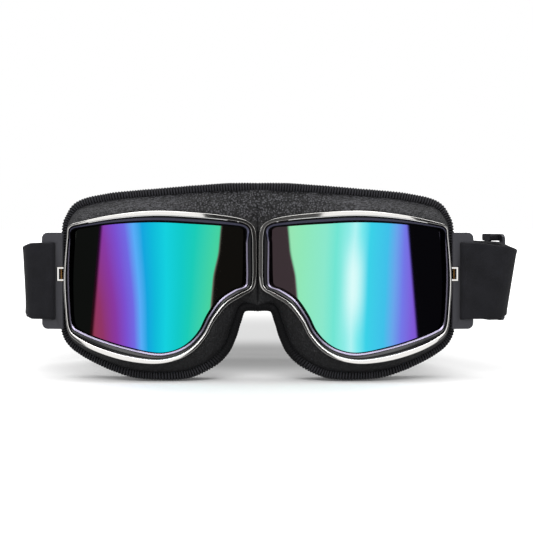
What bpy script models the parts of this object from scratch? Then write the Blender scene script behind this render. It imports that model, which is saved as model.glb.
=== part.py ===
"""Padded motorcycle goggles with two curved mirror lenses, a folding bridge and an elastic head strap.

Left and right are the wearer's. The goggles face -Y and stand on the bottom of their padding at Z = 0.
Sizes are in millimetres, and MM turns them into Blender's metres. U is the distance from the middle plane
and Y the distance behind the foremost point of the lens rims.
"""

import math

import bmesh
import bpy
from mathutils import Matrix, Vector

MM = 0.001
GAP = 0.3  # clearance between touching pieces

# The object's origin is under the middle of its bounding box.
DEPTH = 147.0

# Each lens, with its rim, is a stretch of a cylinder with an upright axis.
LENS_RADIUS = 130.0
LENS_MIDDLE_U = 44.0
LENS_TURN = -0.02
FRONT_SHIFT = LENS_TURN * LENS_MIDDLE_U - LENS_TURN**2 * LENS_RADIUS / 2

# The padding's rear face follows a forehead.
FACE_MIDDLE_Y = 29.0
FACE_RADIUS = 230.0

# Stations around one eye: rim's outer line (u, z), bezel's inner line (u, z), then the padding's outer
# edge (u, z) and how far it lies behind the lens surface. Where the edge is at u = 0 it is the middle seam.
STATIONS = (
    (86.2, 65.0, 84.8, 63.5, 90.2, 67.5, 15.0),
    (85.2, 70.3, 83.9, 68.2, 88.1, 75.0, 14.5),
    (79.5, 72.4, 78.5, 69.6, 81.6, 82.0, 13.5),
    (65.0, 75.4, 64.0, 71.3, 66.0, 85.6, 12.5),
    (47.0, 77.2, 46.0, 72.0, 44.0, 87.6, 12.0),
    (29.0, 76.5, 30.0, 71.3, 25.0, 89.2, 11.5),
    (12.5, 74.7, 14.0, 70.2, 10.0, 90.0, 9.5),
    (4.0, 72.2, 6.6, 69.2, 0.0, 85.5, 7.5),
    (0.9, 67.5, 5.5, 65.5, 0.0, 73.0, 6.0),
    (0.5, 57.0, 5.3, 56.0, 0.0, 57.0, 5.5),
    (0.6, 47.0, 5.2, 47.0, 0.0, 45.0, 5.5),
    (1.9, 41.8, 5.9, 43.2, 0.0, 36.0, 6.5),
    (6.5, 38.8, 10.5, 41.4, 5.6, 31.2, 7.5),
    (13.5, 34.6, 16.8, 37.2, 7.5, 26.2, 8.5),
    (19.3, 27.6, 22.0, 30.0, 9.8, 19.0, 9.5),
    (23.3, 20.4, 25.8, 22.8, 13.6, 11.6, 9.5),
    (29.2, 13.9, 31.3, 17.2, 20.6, 5.4, 9.5),
    (37.0, 9.9, 38.2, 13.9, 31.0, 1.0, 9.5),
    (47.0, 8.4, 46.5, 13.1, 43.0, 0.1, 9.5),
    (60.0, 9.9, 60.0, 15.9, 57.5, 1.4, 10.5),
    (72.5, 13.6, 71.5, 19.3, 70.5, 5.8, 11.5),
    (81.5, 18.2, 80.0, 22.7, 82.6, 11.9, 13.0),
    (85.8, 23.0, 83.9, 25.8, 89.2, 18.4, 14.5),
    (87.2, 33.5, 85.0, 35.0, 91.0, 28.0, 15.0),
    (87.8, 47.0, 85.4, 49.0, 91.0, 47.0, 15.0),
)
SEAM_STATIONS = range(7, 12)
BRIDGE_TOP = (0.0, 90.0, 8.5)
BRIDGE_BOTTOM = (0.0, 31.2, 7.0)
STEPS = 2  # points from one station to the next

# Depths behind the lens surface, front to back.
RIM_DEPTH = 5.1
RIM_SHARE = 0.38  # of the way from the rim's outer line to the bezel's inner line
RIM_CLEARANCE = 0.2
BEZEL_OUTER_D = 0.9
BEZEL_INNER_D = 2.6
BEZEL_BACK_D = 4.2
LENS_EDGE_SHARE = 0.75
LENS_FRONT_D = 4.5
LENS_THICK = 1.1
COVER_D = 5.6
COVER_THICK = 1.0
FRAME_FRONT_D = 6.9
FRAME_BACK_D = 9.5
FRAME_OUTER_INSET = 3.3
FRAME_INNER_INSET = 6.8

# Padding.
HEM_RADIUS = 2.1
COVER_EDGE_INSET = 5.0
FOAM_INSET = 0.3
FOAM_WIDTH = 10.0
FOAM_FRONT_D = 10.2
FOAM_LEAST_D = 12.6
FOOT_DROP = 1.2  # how far the foam is pressed down to the flat it stands on, and up to what height
FOOT_RISE = 6.0
FACING_THICK = 0.8
FOAM_SEAM_U = (3.0, 9.0, 15.5)  # where its outer, front and inner lines run beside the bridge
FOAM_CORNER = 0.1  # share of its width that the rear's outer corner is set in
FACING_SEAM_U = (3.0, 15.0)
BRIDGE_HALF = 9.0  # half width of the soft bridge between the eyecups
NOSE_PAD_Z = (34.5, 40.0, 83.0)  # bottom, end of its taper and top
NOSE_PAD_BOTTOM_HALF = 5.5

# Bridge hinge: two pins, a link between them and a leaf on each frame.
HINGE_U = 2.6
HINGE_Y = 18.4
HINGE_Z = 58.0
HINGE_PIN_RADIUS = 0.7
HINGE_PIN_LENGTH = 20.0
HINGE_PIN_CLEARANCE = 0.2
KNUCKLE_RADIUS = 1.6
LINK_KNUCKLE_HALF = 4.0
LEAF_KNUCKLE = 3.6
LEAF_NEAR = 4.8
LEAF_REACH = 8.6
LEAF_BEHIND = 1.8  # from the frame's back to the leaf's front
LEAF_THICK = 0.8
SCREW_RADIUS = 1.1
SCREW_U = 6.7
SCREW_SPREAD = 3.4  # above and below the hinge's middle height

# Side clip and strap wing.
CLIP_Z = 48.5
CLIP_HEIGHT = 6.2
CLIP_REACH = 2.8
CLIP_WALL = 0.7
CLIP_DEPTH = 2.2
WING_AXIS_U = 89.2
WING_D = 4.5
WING_TURN = math.radians(10)
WING_Z = 45.4
WING_HEIGHT = 43.8
WING_THICK = 2.2
WING_REACH = 8.8
WING_PIN_RADIUS = 0.4
WING_PIN_HALF = 6.2
WING_BORE_RADIUS = 0.6
NOTCH_REACH = 2.1  # how far from its axis the wing is cut away round the clip
WING_CORNER = 2.6
SLOT_NEAR = 2.4
SLOT_FAR = 4.5
SLOT_HEIGHT = 35.4

# Head strap: a flat band on edge.
STRAP_Z = (28.0, 62.7)
STRAP_THICK = 1.5
STRAP_FOLD_HALF = WING_THICK / 2 + GAP + STRAP_THICK / 2  # from the wing's middle to each layer's middle
STRAP_END_REACH = 9.3  # how far from the wing's axis each layer of the fold ends
# Plan of the band (x, y) from the right wing round the back to the left wing.
RIGHT_SIDE_ROUTE = (
    (-99.5, 10.6),
    (-103.9, 12.4),
    (-106.0, 17.5),
    (-107.2, 32.0),
    (-109.4, 52.0),
    (-111.6, 72.0),
)
BACK_ROUTE = (
    (-111.6, 72.0),
    (-114.0, 92.0),
    (-115.4, 110.0),
    (-105.5, 128.5),
    (-80.0, 138.5),
    (-44.0, 144.5),
    (0.0, 146.2),
    (44.0, 140.5),
    (72.0, 124.0),
    (88.0, 101.0),
    (97.6, 77.0),
)
LEFT_SIDE_ROUTE = (
    (97.6, 77.0),
    (103.5, 58.8),
    (109.4, 40.6),
    (115.0, 23.5),
    (115.2, 16.0),
    (109.5, 11.8),
    (99.5, 11.4),
)
LEFT_RETURN_ROUTE = ((109.2, 30.0), (111.6, 22.8), (111.4, 17.4), (107.4, 15.2), (99.5, 14.5))

# Adjuster: a slide on the straight stretch of the strap's left side.
ADJUSTER_MIDDLE = (109.4, 40.6)
ADJUSTER_HALF = 9.5
ADJUSTER_BAR = 3.0
ADJUSTER_RAILS = (1.7, 3.2)  # below and above the strap
ADJUSTER_THICK = 1.5

LEATHER = ("leather", (0.022, 0.022, 0.024), 0.55, 0.0)
THREAD = ("thread", (0.015, 0.015, 0.016), 0.85, 0.0)
FOAM = ("foam", (0.03, 0.03, 0.03), 0.95, 0.0)
VELOUR = ("velour", (0.02, 0.02, 0.022), 1.0, 0.0)
CHROME = ("chrome", (0.8, 0.8, 0.8), 0.08, 1.0)
BRASS = ("brass", (0.75, 0.5, 0.2), 0.25, 1.0)
STEEL = ("steel", (0.5, 0.5, 0.52), 0.3, 1.0)
GLOSS_BLACK = ("gloss_black", (0.01, 0.01, 0.012), 0.12, 0.0)
MATTE_BLACK = ("matte_black", (0.035, 0.035, 0.038), 0.45, 0.0)
MIRROR_LENS = ("mirror_lens", (0.05, 0.6, 0.75), 0.04, 1.0)
WEBBING = ("webbing", (0.018, 0.018, 0.022), 0.9, 0.0)


# ---------------------------------------------------------------- curves


def lens_y(u):
    """Depth of the lens surface, the same at every height."""
    return LENS_TURN * u + (u - LENS_MIDDLE_U) ** 2 / (2 * LENS_RADIUS) - FRONT_SHIFT


def face_y(u):
    """Depth of the padding's rear face."""
    return FACE_MIDDLE_Y + u * u / (2 * FACE_RADIUS)


def smooth(points, steps, closed=True):
    """Points of a Catmull-Rom curve through the given points, of any dimension."""
    count = len(points)
    found = []
    for i in range(count if closed else count - 1):
        if closed:
            quad = [points[(i + k - 1) % count] for k in range(4)]
        else:
            quad = [points[min(max(i + k - 1, 0), count - 1)] for k in range(4)]
        for step in range(steps):
            t = step / steps
            weights = (
                -0.5 * t + t * t - 0.5 * t**3,
                1 - 2.5 * t * t + 1.5 * t**3,
                0.5 * t + 2 * t * t - 1.5 * t**3,
                -0.5 * t * t + 0.5 * t**3,
            )
            found.append(tuple(sum(w * p[k] for w, p in zip(weights, quad)) for k in range(len(points[0]))))
    if not closed:
        found.append(tuple(points[-1]))
    return found


def normals(points):
    """Unit normals of a closed (u, z) loop, to the left of its direction."""
    count = len(points)
    found = []
    for i in range(count):
        du = points[(i + 1) % count][0] - points[i - 1][0]
        dz = points[(i + 1) % count][1] - points[i - 1][1]
        length = math.hypot(du, dz)
        found.append((-dz / length, du / length))
    return found


def inset(points, distance):
    """A closed (u, z) loop moved to the left of its direction, which is inwards for the loops here."""
    return [(p[0] + distance * n[0], p[1] + distance * n[1]) for p, n in zip(points, normals(points))]


def mix(a, b, share):
    return [(p[0] + share * (q[0] - p[0]), p[1] + share * (q[1] - p[1])) for p, q in zip(a, b)]


def half_edge():
    """The padding's edge on one side as (u, z, depth), from the bridge's bottom to its top."""
    first = SEAM_STATIONS[-1] + 1
    order = [*range(first, len(STATIONS)), *range(SEAM_STATIONS[0])]
    return [BRIDGE_BOTTOM, *[STATIONS[i][4:7] for i in order], BRIDGE_TOP]


def whole_edge():
    """The padding's whole edge as (x, z, depth behind the lens), closed."""
    half = half_edge()
    return [*half, *[(-u, z, d) for u, z, d in reversed(half[1:-1])]]


def edge_inset(distance, seam_u, share=0.0):
    """The edge stations moved inwards. Those on the middle seam go to seam_u, a share of the way to the lens."""
    edge = whole_edge()
    moved = inset([(x, z) for x, z, _ in edge], distance)
    place = {(p[0], p[1]): q for p, q in zip(edge, moved)}
    found = []
    for i, station in enumerate(STATIONS):
        if i in SEAM_STATIONS:
            found.append((seam_u, station[5] + share * (station[3] - station[5])))
        else:
            found.append(place[(station[4], station[5])])
    return smooth(found, STEPS)


def rim_line():
    return smooth([s[0:2] for s in STATIONS], STEPS)


def bezel_line():
    return smooth([s[2:4] for s in STATIONS], STEPS)


def edge_depth():
    return [p[0] for p in smooth([(s[6],) for s in STATIONS], STEPS)]


# ---------------------------------------------------------------- scene helpers


def clear_scene():
    for obj in list(bpy.data.objects):
        bpy.data.objects.remove(obj)


def new_collection(name, hidden=False):
    made = bpy.data.collections.new(name)
    made.hide_render = hidden
    bpy.context.scene.collection.children.link(made)
    return made


def material(finish):
    name, colour, roughness, metallic = finish
    made = bpy.data.materials.get(name)
    if made is None:
        made = bpy.data.materials.new(name)
        made.use_nodes = True
        shader = made.node_tree.nodes["Principled BSDF"]
        shader.inputs["Base Color"].default_value = (*colour, 1.0)
        shader.inputs["Roughness"].default_value = roughness
        shader.inputs["Metallic"].default_value = metallic
    return made


def add_empty(name, place, parent=None):
    empty = bpy.data.objects.new(name, None)
    PARTS.objects.link(empty)
    empty.location = Vector(place) * MM
    if parent is not None:
        empty.parent = parent[0]
        empty.location -= Vector(parent[1]) * MM
    return empty, place


def add_object(name, mesh, finish, pivot):
    """Links a mesh given in the design frame, in metres, as an object with its origin on the pivot."""
    bm = bmesh.new()
    bm.from_mesh(mesh)
    bmesh.ops.recalc_face_normals(bm, faces=bm.faces)
    bm.to_mesh(mesh)
    bm.free()
    mesh.name = name
    mesh.transform(Matrix.Translation(Vector(pivot[1]) * -MM))
    mesh.materials.clear()
    mesh.materials.append(material(finish))
    obj = bpy.data.objects.new(name, mesh)
    PARTS.objects.link(obj)
    obj.parent = pivot[0]
    return obj


def add_cutter(name, mesh, pivot):
    obj = add_object(name, mesh, MATTE_BLACK, pivot)
    PARTS.objects.unlink(obj)
    CUTTERS.objects.link(obj)
    obj.hide_render = True
    obj.display_type = "WIRE"
    return obj


def boolean(obj, cutter, operation="DIFFERENCE"):
    modifier = obj.modifiers.new(cutter.name, "BOOLEAN")
    modifier.operation = operation
    modifier.object = cutter


def box_mesh(low, high):
    bm = bmesh.new()
    size = [(b - a) * MM for a, b in zip(low, high)]
    middle = [(a + b) / 2 * MM for a, b in zip(low, high)]
    matrix = Matrix.Translation(middle) @ Matrix.Diagonal((*size, 1.0))
    bmesh.ops.create_cube(bm, size=1.0, matrix=matrix)
    mesh = bpy.data.meshes.new("box")
    bm.to_mesh(mesh)
    bm.free()
    return mesh


def upright_cylinder(x, y, low_z, high_z, radius, sides=16):
    bm = bmesh.new()
    matrix = Matrix.Translation(Vector((x, y, (low_z + high_z) / 2)) * MM)
    bmesh.ops.create_cone(
        bm,
        cap_ends=True,
        segments=sides,
        radius1=radius * MM,
        radius2=radius * MM,
        depth=(high_z - low_z) * MM,
        matrix=matrix,
    )
    mesh = bpy.data.meshes.new("cylinder")
    bm.to_mesh(mesh)
    bm.free()
    return mesh


def ring_mesh(side, sections):
    """A closed tube from cross-sections that go round an eye. Each section is a list of (u, y, z)."""
    bm = bmesh.new()
    rows = [[bm.verts.new(Vector((side * u, y, z)) * MM) for u, y, z in section] for section in sections]
    for i, row in enumerate(rows):
        following = rows[(i + 1) % len(rows)]
        for k in range(len(row)):
            after = (k + 1) % len(row)
            bm.faces.new((row[k], row[after], following[after], following[k]))
    bmesh.ops.recalc_face_normals(bm, faces=bm.faces)
    mesh = bpy.data.meshes.new("ring")
    bm.to_mesh(mesh)
    bm.free()
    return mesh


def on_lens(point, depth):
    """(u, y, z) of a (u, z) point that lies depth behind the lens surface."""
    return point[0], lens_y(point[0]) + depth, point[1]


def plate_mesh(outlines, thickness, matrix):
    """A flat plate from its outline and its holes, given as (a, b) loops in its own plane."""
    curve = bpy.data.curves.new("plate", "CURVE")
    curve.dimensions = "2D"
    curve.fill_mode = "BOTH"
    curve.extrude = thickness * MM / 2
    for outline in outlines:
        spline = curve.splines.new("POLY")
        spline.points.add(len(outline) - 1)
        for point, (a, b) in zip(spline.points, outline):
            point.co = (a * MM, b * MM, 0.0, 1.0)
        spline.use_cyclic_u = True
    return curve_to_mesh(curve, matrix)


def curve_to_mesh(curve, matrix=None):
    holder = bpy.data.objects.new("curve", curve)
    bpy.context.scene.collection.objects.link(holder)
    graph = bpy.context.evaluated_depsgraph_get()
    mesh = bpy.data.meshes.new_from_object(holder.evaluated_get(graph))
    bpy.data.objects.remove(holder)
    bpy.data.curves.remove(curve)
    bm = bmesh.new()
    bm.from_mesh(mesh)
    bmesh.ops.remove_doubles(bm, verts=bm.verts, dist=0.00001)
    bm.to_mesh(mesh)
    bm.free()
    if matrix is not None:
        mesh.transform(matrix)
    return mesh


def rounded_box(width, height, radius, steps=3, centre=(0.0, 0.0)):
    """Outline of a rectangle with round corners."""
    found = []
    for quarter, (sx, sy) in enumerate(((1, 1), (-1, 1), (-1, -1), (1, -1))):
        cx = centre[0] + sx * (width / 2 - radius)
        cy = centre[1] + sy * (height / 2 - radius)
        for k in range(steps + 1):
            angle = math.pi / 2 * (quarter + k / steps)
            found.append((cx + radius * math.cos(angle), cy + radius * math.sin(angle)))
    return found


def band_mesh(route, low_z, high_z, thickness):
    """A flat band on edge along a plan route of (x, y) points."""
    left, right = [], []
    for i, (x, y) in enumerate(route):
        before = route[max(i - 1, 0)]
        after = route[min(i + 1, len(route) - 1)]
        dx, dy = after[0] - before[0], after[1] - before[1]
        length = math.hypot(dx, dy)
        nx, ny = -dy / length * thickness / 2, dx / length * thickness / 2
        left.append((x + nx, y + ny))
        right.append((x - nx, y - ny))
    matrix = Matrix.Translation((0.0, 0.0, (low_z + high_z) / 2 * MM))
    return plate_mesh([left + right[::-1]], high_z - low_z, matrix)


# ---------------------------------------------------------------- lens, rim and frame


def add_rim(name, side, pivot):
    """Chrome band round the lens, with a rounded front."""
    outer = rim_line()
    inner = mix(outer, bezel_line(), RIM_SHARE)
    sections = []
    for a, b in zip(outer, inner):
        def at(share, depth, a=a, b=b):
            return on_lens((a[0] + share * (b[0] - a[0]), a[1] + share * (b[1] - a[1])), depth)

        front = (at(0, 1.2), at(0.25, 0.25), at(0.75, 0.25), at(1, 1.2))
        sections.append((at(0, RIM_DEPTH), *front, at(1, RIM_DEPTH)))
    return add_object(name, ring_mesh(side, sections), CHROME, pivot)


def add_bezel(name, side, pivot):
    """Black retaining ring that slopes down from the rim to the lens."""
    outer = inset(mix(rim_line(), bezel_line(), RIM_SHARE), RIM_CLEARANCE)
    sections = [
        (
            on_lens(a, BEZEL_BACK_D),
            on_lens(a, BEZEL_OUTER_D),
            on_lens(b, BEZEL_INNER_D),
            on_lens(b, BEZEL_BACK_D),
        )
        for a, b in zip(outer, bezel_line())
    ]
    return add_object(name, ring_mesh(side, sections), GLOSS_BLACK, pivot)


def add_lens(name, side, pivot):
    """Curved plate cut to the lens outline."""
    slices = 18
    first, last = -2.0, 92.0
    front = []
    back = []
    for i in range(slices + 1):
        u = first + (last - first) * i / slices
        front.append((side * u, lens_y(u) + LENS_FRONT_D))
        back.append((side * u, lens_y(u) + LENS_FRONT_D + LENS_THICK))
    matrix = Matrix.Translation((0.0, 0.0, 45.0 * MM))
    slab = plate_mesh([front + back[::-1]], 100.0, matrix)
    outline = [(side * u, z) for u, z in mix(rim_line(), bezel_line(), LENS_EDGE_SHARE)]
    upright = Matrix.Translation((0.0, 10.0 * MM, 0.0)) @ Matrix.Rotation(math.pi / 2, 4, "X")
    cutter = add_cutter(name + "_outline", plate_mesh([outline], 60.0, upright), pivot)
    lens = add_object(name, slab, MIRROR_LENS, pivot)
    boolean(lens, cutter, "INTERSECT")
    return lens


def add_frame(name, side, pivot):
    """Eyecup frame behind the lens. The cover's flange is clamped between it and the rim."""
    outer = inset(rim_line(), FRAME_OUTER_INSET)
    inner = inset(rim_line(), FRAME_INNER_INSET)
    sections = [
        (
            on_lens(a, FRAME_BACK_D),
            on_lens(a, FRAME_FRONT_D),
            on_lens(b, FRAME_FRONT_D),
            on_lens(b, FRAME_BACK_D),
        )
        for a, b in zip(outer, inner)
    ]
    return add_object(name, ring_mesh(side, sections), MATTE_BLACK, pivot)


# ---------------------------------------------------------------- soft parts


def cover_surface():
    """The leather cover of both sides as one open surface, from the rims out to the hem."""
    outline = rim_line()
    flange = inset(outline, 0.8)
    seat = inset(outline, 0.3)
    edge = edge_inset(COVER_EDGE_INSET, 0.0)
    depths = edge_depth()
    bm = bmesh.new()
    for side in (1, -1):
        rows = []
        for a, b, c, depth in zip(flange, seat, edge, depths):
            start = Vector(on_lens(b, COVER_D))
            end = Vector(on_lens((max(c[0], 0.0), c[1]), depth))
            crown = min((end - start).length * 0.12, 1.2)
            line = [Vector(on_lens(a, COVER_D)), start]
            for share in (1 / 3, 2 / 3, 1.0):
                point = start.lerp(end, share)
                point.y -= crown * math.sin(math.pi * share)
                line.append(point)
            rows.append([bm.verts.new(Vector((side * p.x, p.y, p.z)) * MM) for p in line])
        for i, row in enumerate(rows):
            following = rows[(i + 1) % len(rows)]
            for k in range(len(row) - 1):
                bm.faces.new((row[k], row[k + 1], following[k + 1], following[k]))
    bmesh.ops.remove_doubles(bm, verts=bm.verts, dist=0.00002)
    bmesh.ops.recalc_face_normals(bm, faces=bm.faces)
    mesh = bpy.data.meshes.new("cover")
    bm.to_mesh(mesh)
    bm.free()
    return mesh


def thick_cover():
    """The cover as a closed solid that fills from its front surface backwards."""
    mesh = cover_surface()
    holder = bpy.data.objects.new("cover_surface", mesh)
    bpy.context.scene.collection.objects.link(holder)
    facing_back = sum(p.normal.y * p.area for p in mesh.polygons) > 0
    solidify = holder.modifiers.new("thickness", "SOLIDIFY")
    solidify.thickness = COVER_THICK * MM
    solidify.offset = 1.0 if facing_back else -1.0
    graph = bpy.context.evaluated_depsgraph_get()
    made = bpy.data.meshes.new_from_object(holder.evaluated_get(graph))
    bpy.data.objects.remove(holder)
    return made


def hem_tube():
    """The bound edge of the padding, a closed tube round both eyes."""
    edge = whole_edge()
    moved = inset([(x, z) for x, z, _ in edge], HEM_RADIUS)
    line = smooth([(p[0], p[1], e[2]) for p, e in zip(moved, edge)], STEPS)
    curve = bpy.data.curves.new("hem", "CURVE")
    curve.dimensions = "3D"
    curve.bevel_depth = HEM_RADIUS * MM
    curve.bevel_resolution = 1
    curve.resolution_u = 1
    spline = curve.splines.new("POLY")
    spline.points.add(len(line) - 1)
    for point, (x, z, depth) in zip(spline.points, line):
        point.co = (x * MM, (lens_y(abs(x)) + depth) * MM, z * MM, 1.0)
    spline.use_cyclic_u = True
    return curve_to_mesh(curve)


def foam_mesh(side):
    """Foam ring behind the hem, with a flat where it stands."""
    outer = edge_inset(FOAM_INSET, FOAM_SEAM_U[0])
    middle = edge_inset(COVER_EDGE_INSET, FOAM_SEAM_U[1], 0.5)
    inner = edge_inset(FOAM_WIDTH, FOAM_SEAM_U[2], 1.0)

    def rear(u):
        return face_y(u) - FACING_THICK - GAP

    def settled(z):
        return max(0.0, z - FOOT_DROP * max(0.0, 1.0 - z / FOOT_RISE))

    sections = []
    for a, m, b, depth in zip(outer, middle, inner, edge_depth()):
        low_z = settled(a[1])
        corner = (a[0] + FOAM_CORNER * (b[0] - a[0]), a[1] + FOAM_CORNER * (b[1] - a[1]))
        front = max(depth + HEM_RADIUS, FOAM_LEAST_D) + GAP
        sections.append(
            (
                (a[0], lens_y(a[0]) + front, low_z),
                (a[0], rear(a[0]) - 1.5, low_z),
                (corner[0], rear(corner[0]), corner[1]),
                (b[0], rear(b[0]), b[1]),
                (b[0], lens_y(b[0]) + FOAM_FRONT_D, b[1]),
                (m[0], lens_y(m[0]) + front, m[1]),
            )
        )
    return ring_mesh(side, sections)


def facing_mesh(side):
    """Soft facing on the foam's rear, where it meets the face."""
    outer = edge_inset(FOAM_INSET + 1.4, FACING_SEAM_U[0])
    inner = edge_inset(FOAM_WIDTH - 0.4, FACING_SEAM_U[1], 0.95)
    sections = [
        (
            (a[0], face_y(a[0]) - FACING_THICK, a[1]),
            (a[0], face_y(a[0]), a[1]),
            (b[0], face_y(b[0]), b[1]),
            (b[0], face_y(b[0]) - FACING_THICK, b[1]),
        )
        for a, b in zip(outer, inner)
    ]
    return ring_mesh(side, sections)


def add_padding(pivots):
    """Cuts the cover and the hem at the soft bridge, and adds the foam and its facing."""
    far, deep, tall = 100.0, (-10.0, 60.0), (-5.0, 100.0)
    inner, outer = BRIDGE_HALF - GAP / 2, BRIDGE_HALF + GAP / 2
    zones = {"right": (-far, -outer), "bridge": (-inner, inner), "left": (outer, far)}
    for zone, (low_x, high_x) in zones.items():
        box = box_mesh((low_x, deep[0], tall[0]), (high_x, deep[1], tall[1]))
        cutter = add_cutter(zone + "_zone", box, pivots[zone])
        boolean(add_object(zone + "_cover", thick_cover(), LEATHER, pivots[zone]), cutter, "INTERSECT")
        if zone == "bridge":
            for end, low, high in (("top", 60.0, 100.0), ("bottom", 0.0, 60.0)):
                box = box_mesh((-inner, deep[0], low), (inner, deep[1], high))
                piece = add_cutter(f"bridge_{end}", box, pivots[zone])
                hem = add_object("bridge_hem_" + end, hem_tube(), THREAD, pivots[zone])
                boolean(hem, piece, "INTERSECT")
        else:
            boolean(add_object(zone + "_hem", hem_tube(), THREAD, pivots[zone]), cutter, "INTERSECT")
            side = 1 if zone == "left" else -1
            foam = add_object(zone + "_foam", foam_mesh(side), FOAM, pivots[zone])
            boolean(foam, cutter, "INTERSECT")
            facing = add_object(zone + "_facing", facing_mesh(side), VELOUR, pivots[zone])
            boolean(facing, cutter, "INTERSECT")


def add_nose_pad(pivot):
    """Foam that fills the bridge behind the hinge, narrower at the bottom where the nose goes."""
    half = BRIDGE_HALF - GAP
    bottom, taper, top = NOSE_PAD_Z
    narrow = NOSE_PAD_BOTTOM_HALF
    right = [(-half, top), (-half, taper), (-narrow, bottom)]
    outline = right + [(-a, z) for a, z in reversed(right)]
    low_y = HINGE_Y + KNUCKLE_RADIUS + GAP + 0.2
    high_y = FACE_MIDDLE_Y - 0.3
    upright = Matrix.Rotation(math.pi / 2, 4, "X")
    matrix = Matrix.Translation((0.0, (low_y + high_y) / 2 * MM, 0.0)) @ upright
    return add_object("nose_pad", plate_mesh([outline], high_y - low_y, matrix), FOAM, pivot)


# ---------------------------------------------------------------- bridge hinge


def add_bridge_link(pivot):
    """Link with a bored knuckle on each hinge pin."""
    low, high = HINGE_Z - LINK_KNUCKLE_HALF, HINGE_Z + LINK_KNUCKLE_HALF
    web = box_mesh((-HINGE_U, HINGE_Y - 0.7, low), (HINGE_U, HINGE_Y + 0.7, high))
    link = add_object("bridge_link", web, STEEL, pivot)
    for side in (1, -1):
        knuckle = upright_cylinder(side * HINGE_U, HINGE_Y, low, high, KNUCKLE_RADIUS)
        boolean(link, add_cutter(f"link_knuckle_{side}", knuckle, pivot), "UNION")
    for side in (1, -1):
        radius = HINGE_PIN_RADIUS + HINGE_PIN_CLEARANCE
        bore = upright_cylinder(side * HINGE_U, HINGE_Y, low - 1, high + 1, radius)
        boolean(link, add_cutter(f"link_bore_{side}", bore, pivot))
    return link


def add_hinge_half(zone, side, pivot):
    """Leaf on the frame's back, its two screws and the pin that it holds."""
    link_top = HINGE_Z + LINK_KNUCKLE_HALF + GAP
    link_low = HINGE_Z - LINK_KNUCKLE_HALF - GAP
    x = side * HINGE_U
    leaf_y = lens_y(LEAF_REACH) + FRAME_BACK_D + LEAF_BEHIND
    low_x, high_x = sorted((side * LEAF_NEAR, side * LEAF_REACH))
    low, high = link_low - LEAF_KNUCKLE, link_top + LEAF_KNUCKLE
    plate = box_mesh((low_x, leaf_y, low), (high_x, leaf_y + LEAF_THICK, high))
    leaf = add_object(zone + "_hinge_leaf", plate, STEEL, pivot)
    for k, (a, b) in enumerate(((low, link_low), (link_top, high))):
        arm = box_mesh((min(x, side * 6), leaf_y, a), (max(x, side * 6), leaf_y + LEAF_THICK, b))
        boolean(leaf, add_cutter(f"{zone}_leaf_arm_{k}", arm, pivot), "UNION")
        knuckle = upright_cylinder(x, HINGE_Y, a, b, KNUCKLE_RADIUS)
        boolean(leaf, add_cutter(f"{zone}_leaf_knuckle_{k}", knuckle, pivot), "UNION")
    bore = upright_cylinder(x, HINGE_Y, low - 1, high + 1, HINGE_PIN_RADIUS + GAP / 2)
    boolean(leaf, add_cutter(zone + "_leaf_bore", bore, pivot))
    half = HINGE_PIN_LENGTH / 2
    add_object(
        zone + "_bridge_pin",
        upright_cylinder(x, HINGE_Y, HINGE_Z - half, HINGE_Z + half, HINGE_PIN_RADIUS, 12),
        STEEL,
        pivot,
    )
    for end, z in (("lower", HINGE_Z - SCREW_SPREAD), ("upper", HINGE_Z + SCREW_SPREAD)):
        middle = Vector((side * SCREW_U, leaf_y + LEAF_THICK + GAP + 0.5, z)) * MM
        matrix = Matrix.Translation(middle) @ Matrix.Rotation(math.pi / 2, 4, "X")
        bm = bmesh.new()
        radius = SCREW_RADIUS * MM
        bmesh.ops.create_cone(
            bm, cap_ends=True, segments=12, radius1=radius, radius2=radius, depth=MM, matrix=matrix
        )
        mesh = bpy.data.meshes.new("screw")
        bm.to_mesh(mesh)
        bm.free()
        add_object(f"{zone}_hinge_screw_{end}", mesh, STEEL, pivot)


# ---------------------------------------------------------------- wing and clip


def wing_place(side):
    """(x, y) of the upright axis on which the wing turns."""
    return side * WING_AXIS_U, lens_y(LENS_MIDDLE_U * 2) + WING_D


def add_clip(zone, side, pivot):
    """Square bracket of chrome sheet on the rim's side, with the pin through its arms."""
    x, y = wing_place(side)
    near = side * (WING_AXIS_U - 1.1)
    far = side * (WING_AXIS_U - 1.1 + CLIP_REACH)
    half = CLIP_HEIGHT / 2
    low_x, high_x = sorted((near, far))
    low_y, high_y = y - CLIP_DEPTH / 2, y + CLIP_DEPTH / 2
    block = box_mesh((low_x, low_y, CLIP_Z - half), (high_x, high_y, CLIP_Z + half))
    clip = add_object(zone + "_clip", block, CHROME, pivot)
    room_far = side * (WING_AXIS_U - 1.1 + CLIP_REACH - CLIP_WALL)
    room_near = side * (WING_AXIS_U - 3.0)
    low_x, high_x = sorted((room_near, room_far))
    inner = half - CLIP_WALL
    room = box_mesh((low_x, low_y - 1, CLIP_Z - inner), (high_x, high_y + 1, CLIP_Z + inner))
    boolean(clip, add_cutter(zone + "_clip_room", room, pivot))
    bore = upright_cylinder(x, y, CLIP_Z - half - 1, CLIP_Z + half + 1, WING_PIN_RADIUS + 0.1)
    boolean(clip, add_cutter(zone + "_clip_bore", bore, pivot))
    low_z, high_z = CLIP_Z - WING_PIN_HALF, CLIP_Z + WING_PIN_HALF
    add_object(zone + "_wing_pin", upright_cylinder(x, y, low_z, high_z, WING_PIN_RADIUS, 12), BRASS, pivot)


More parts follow.
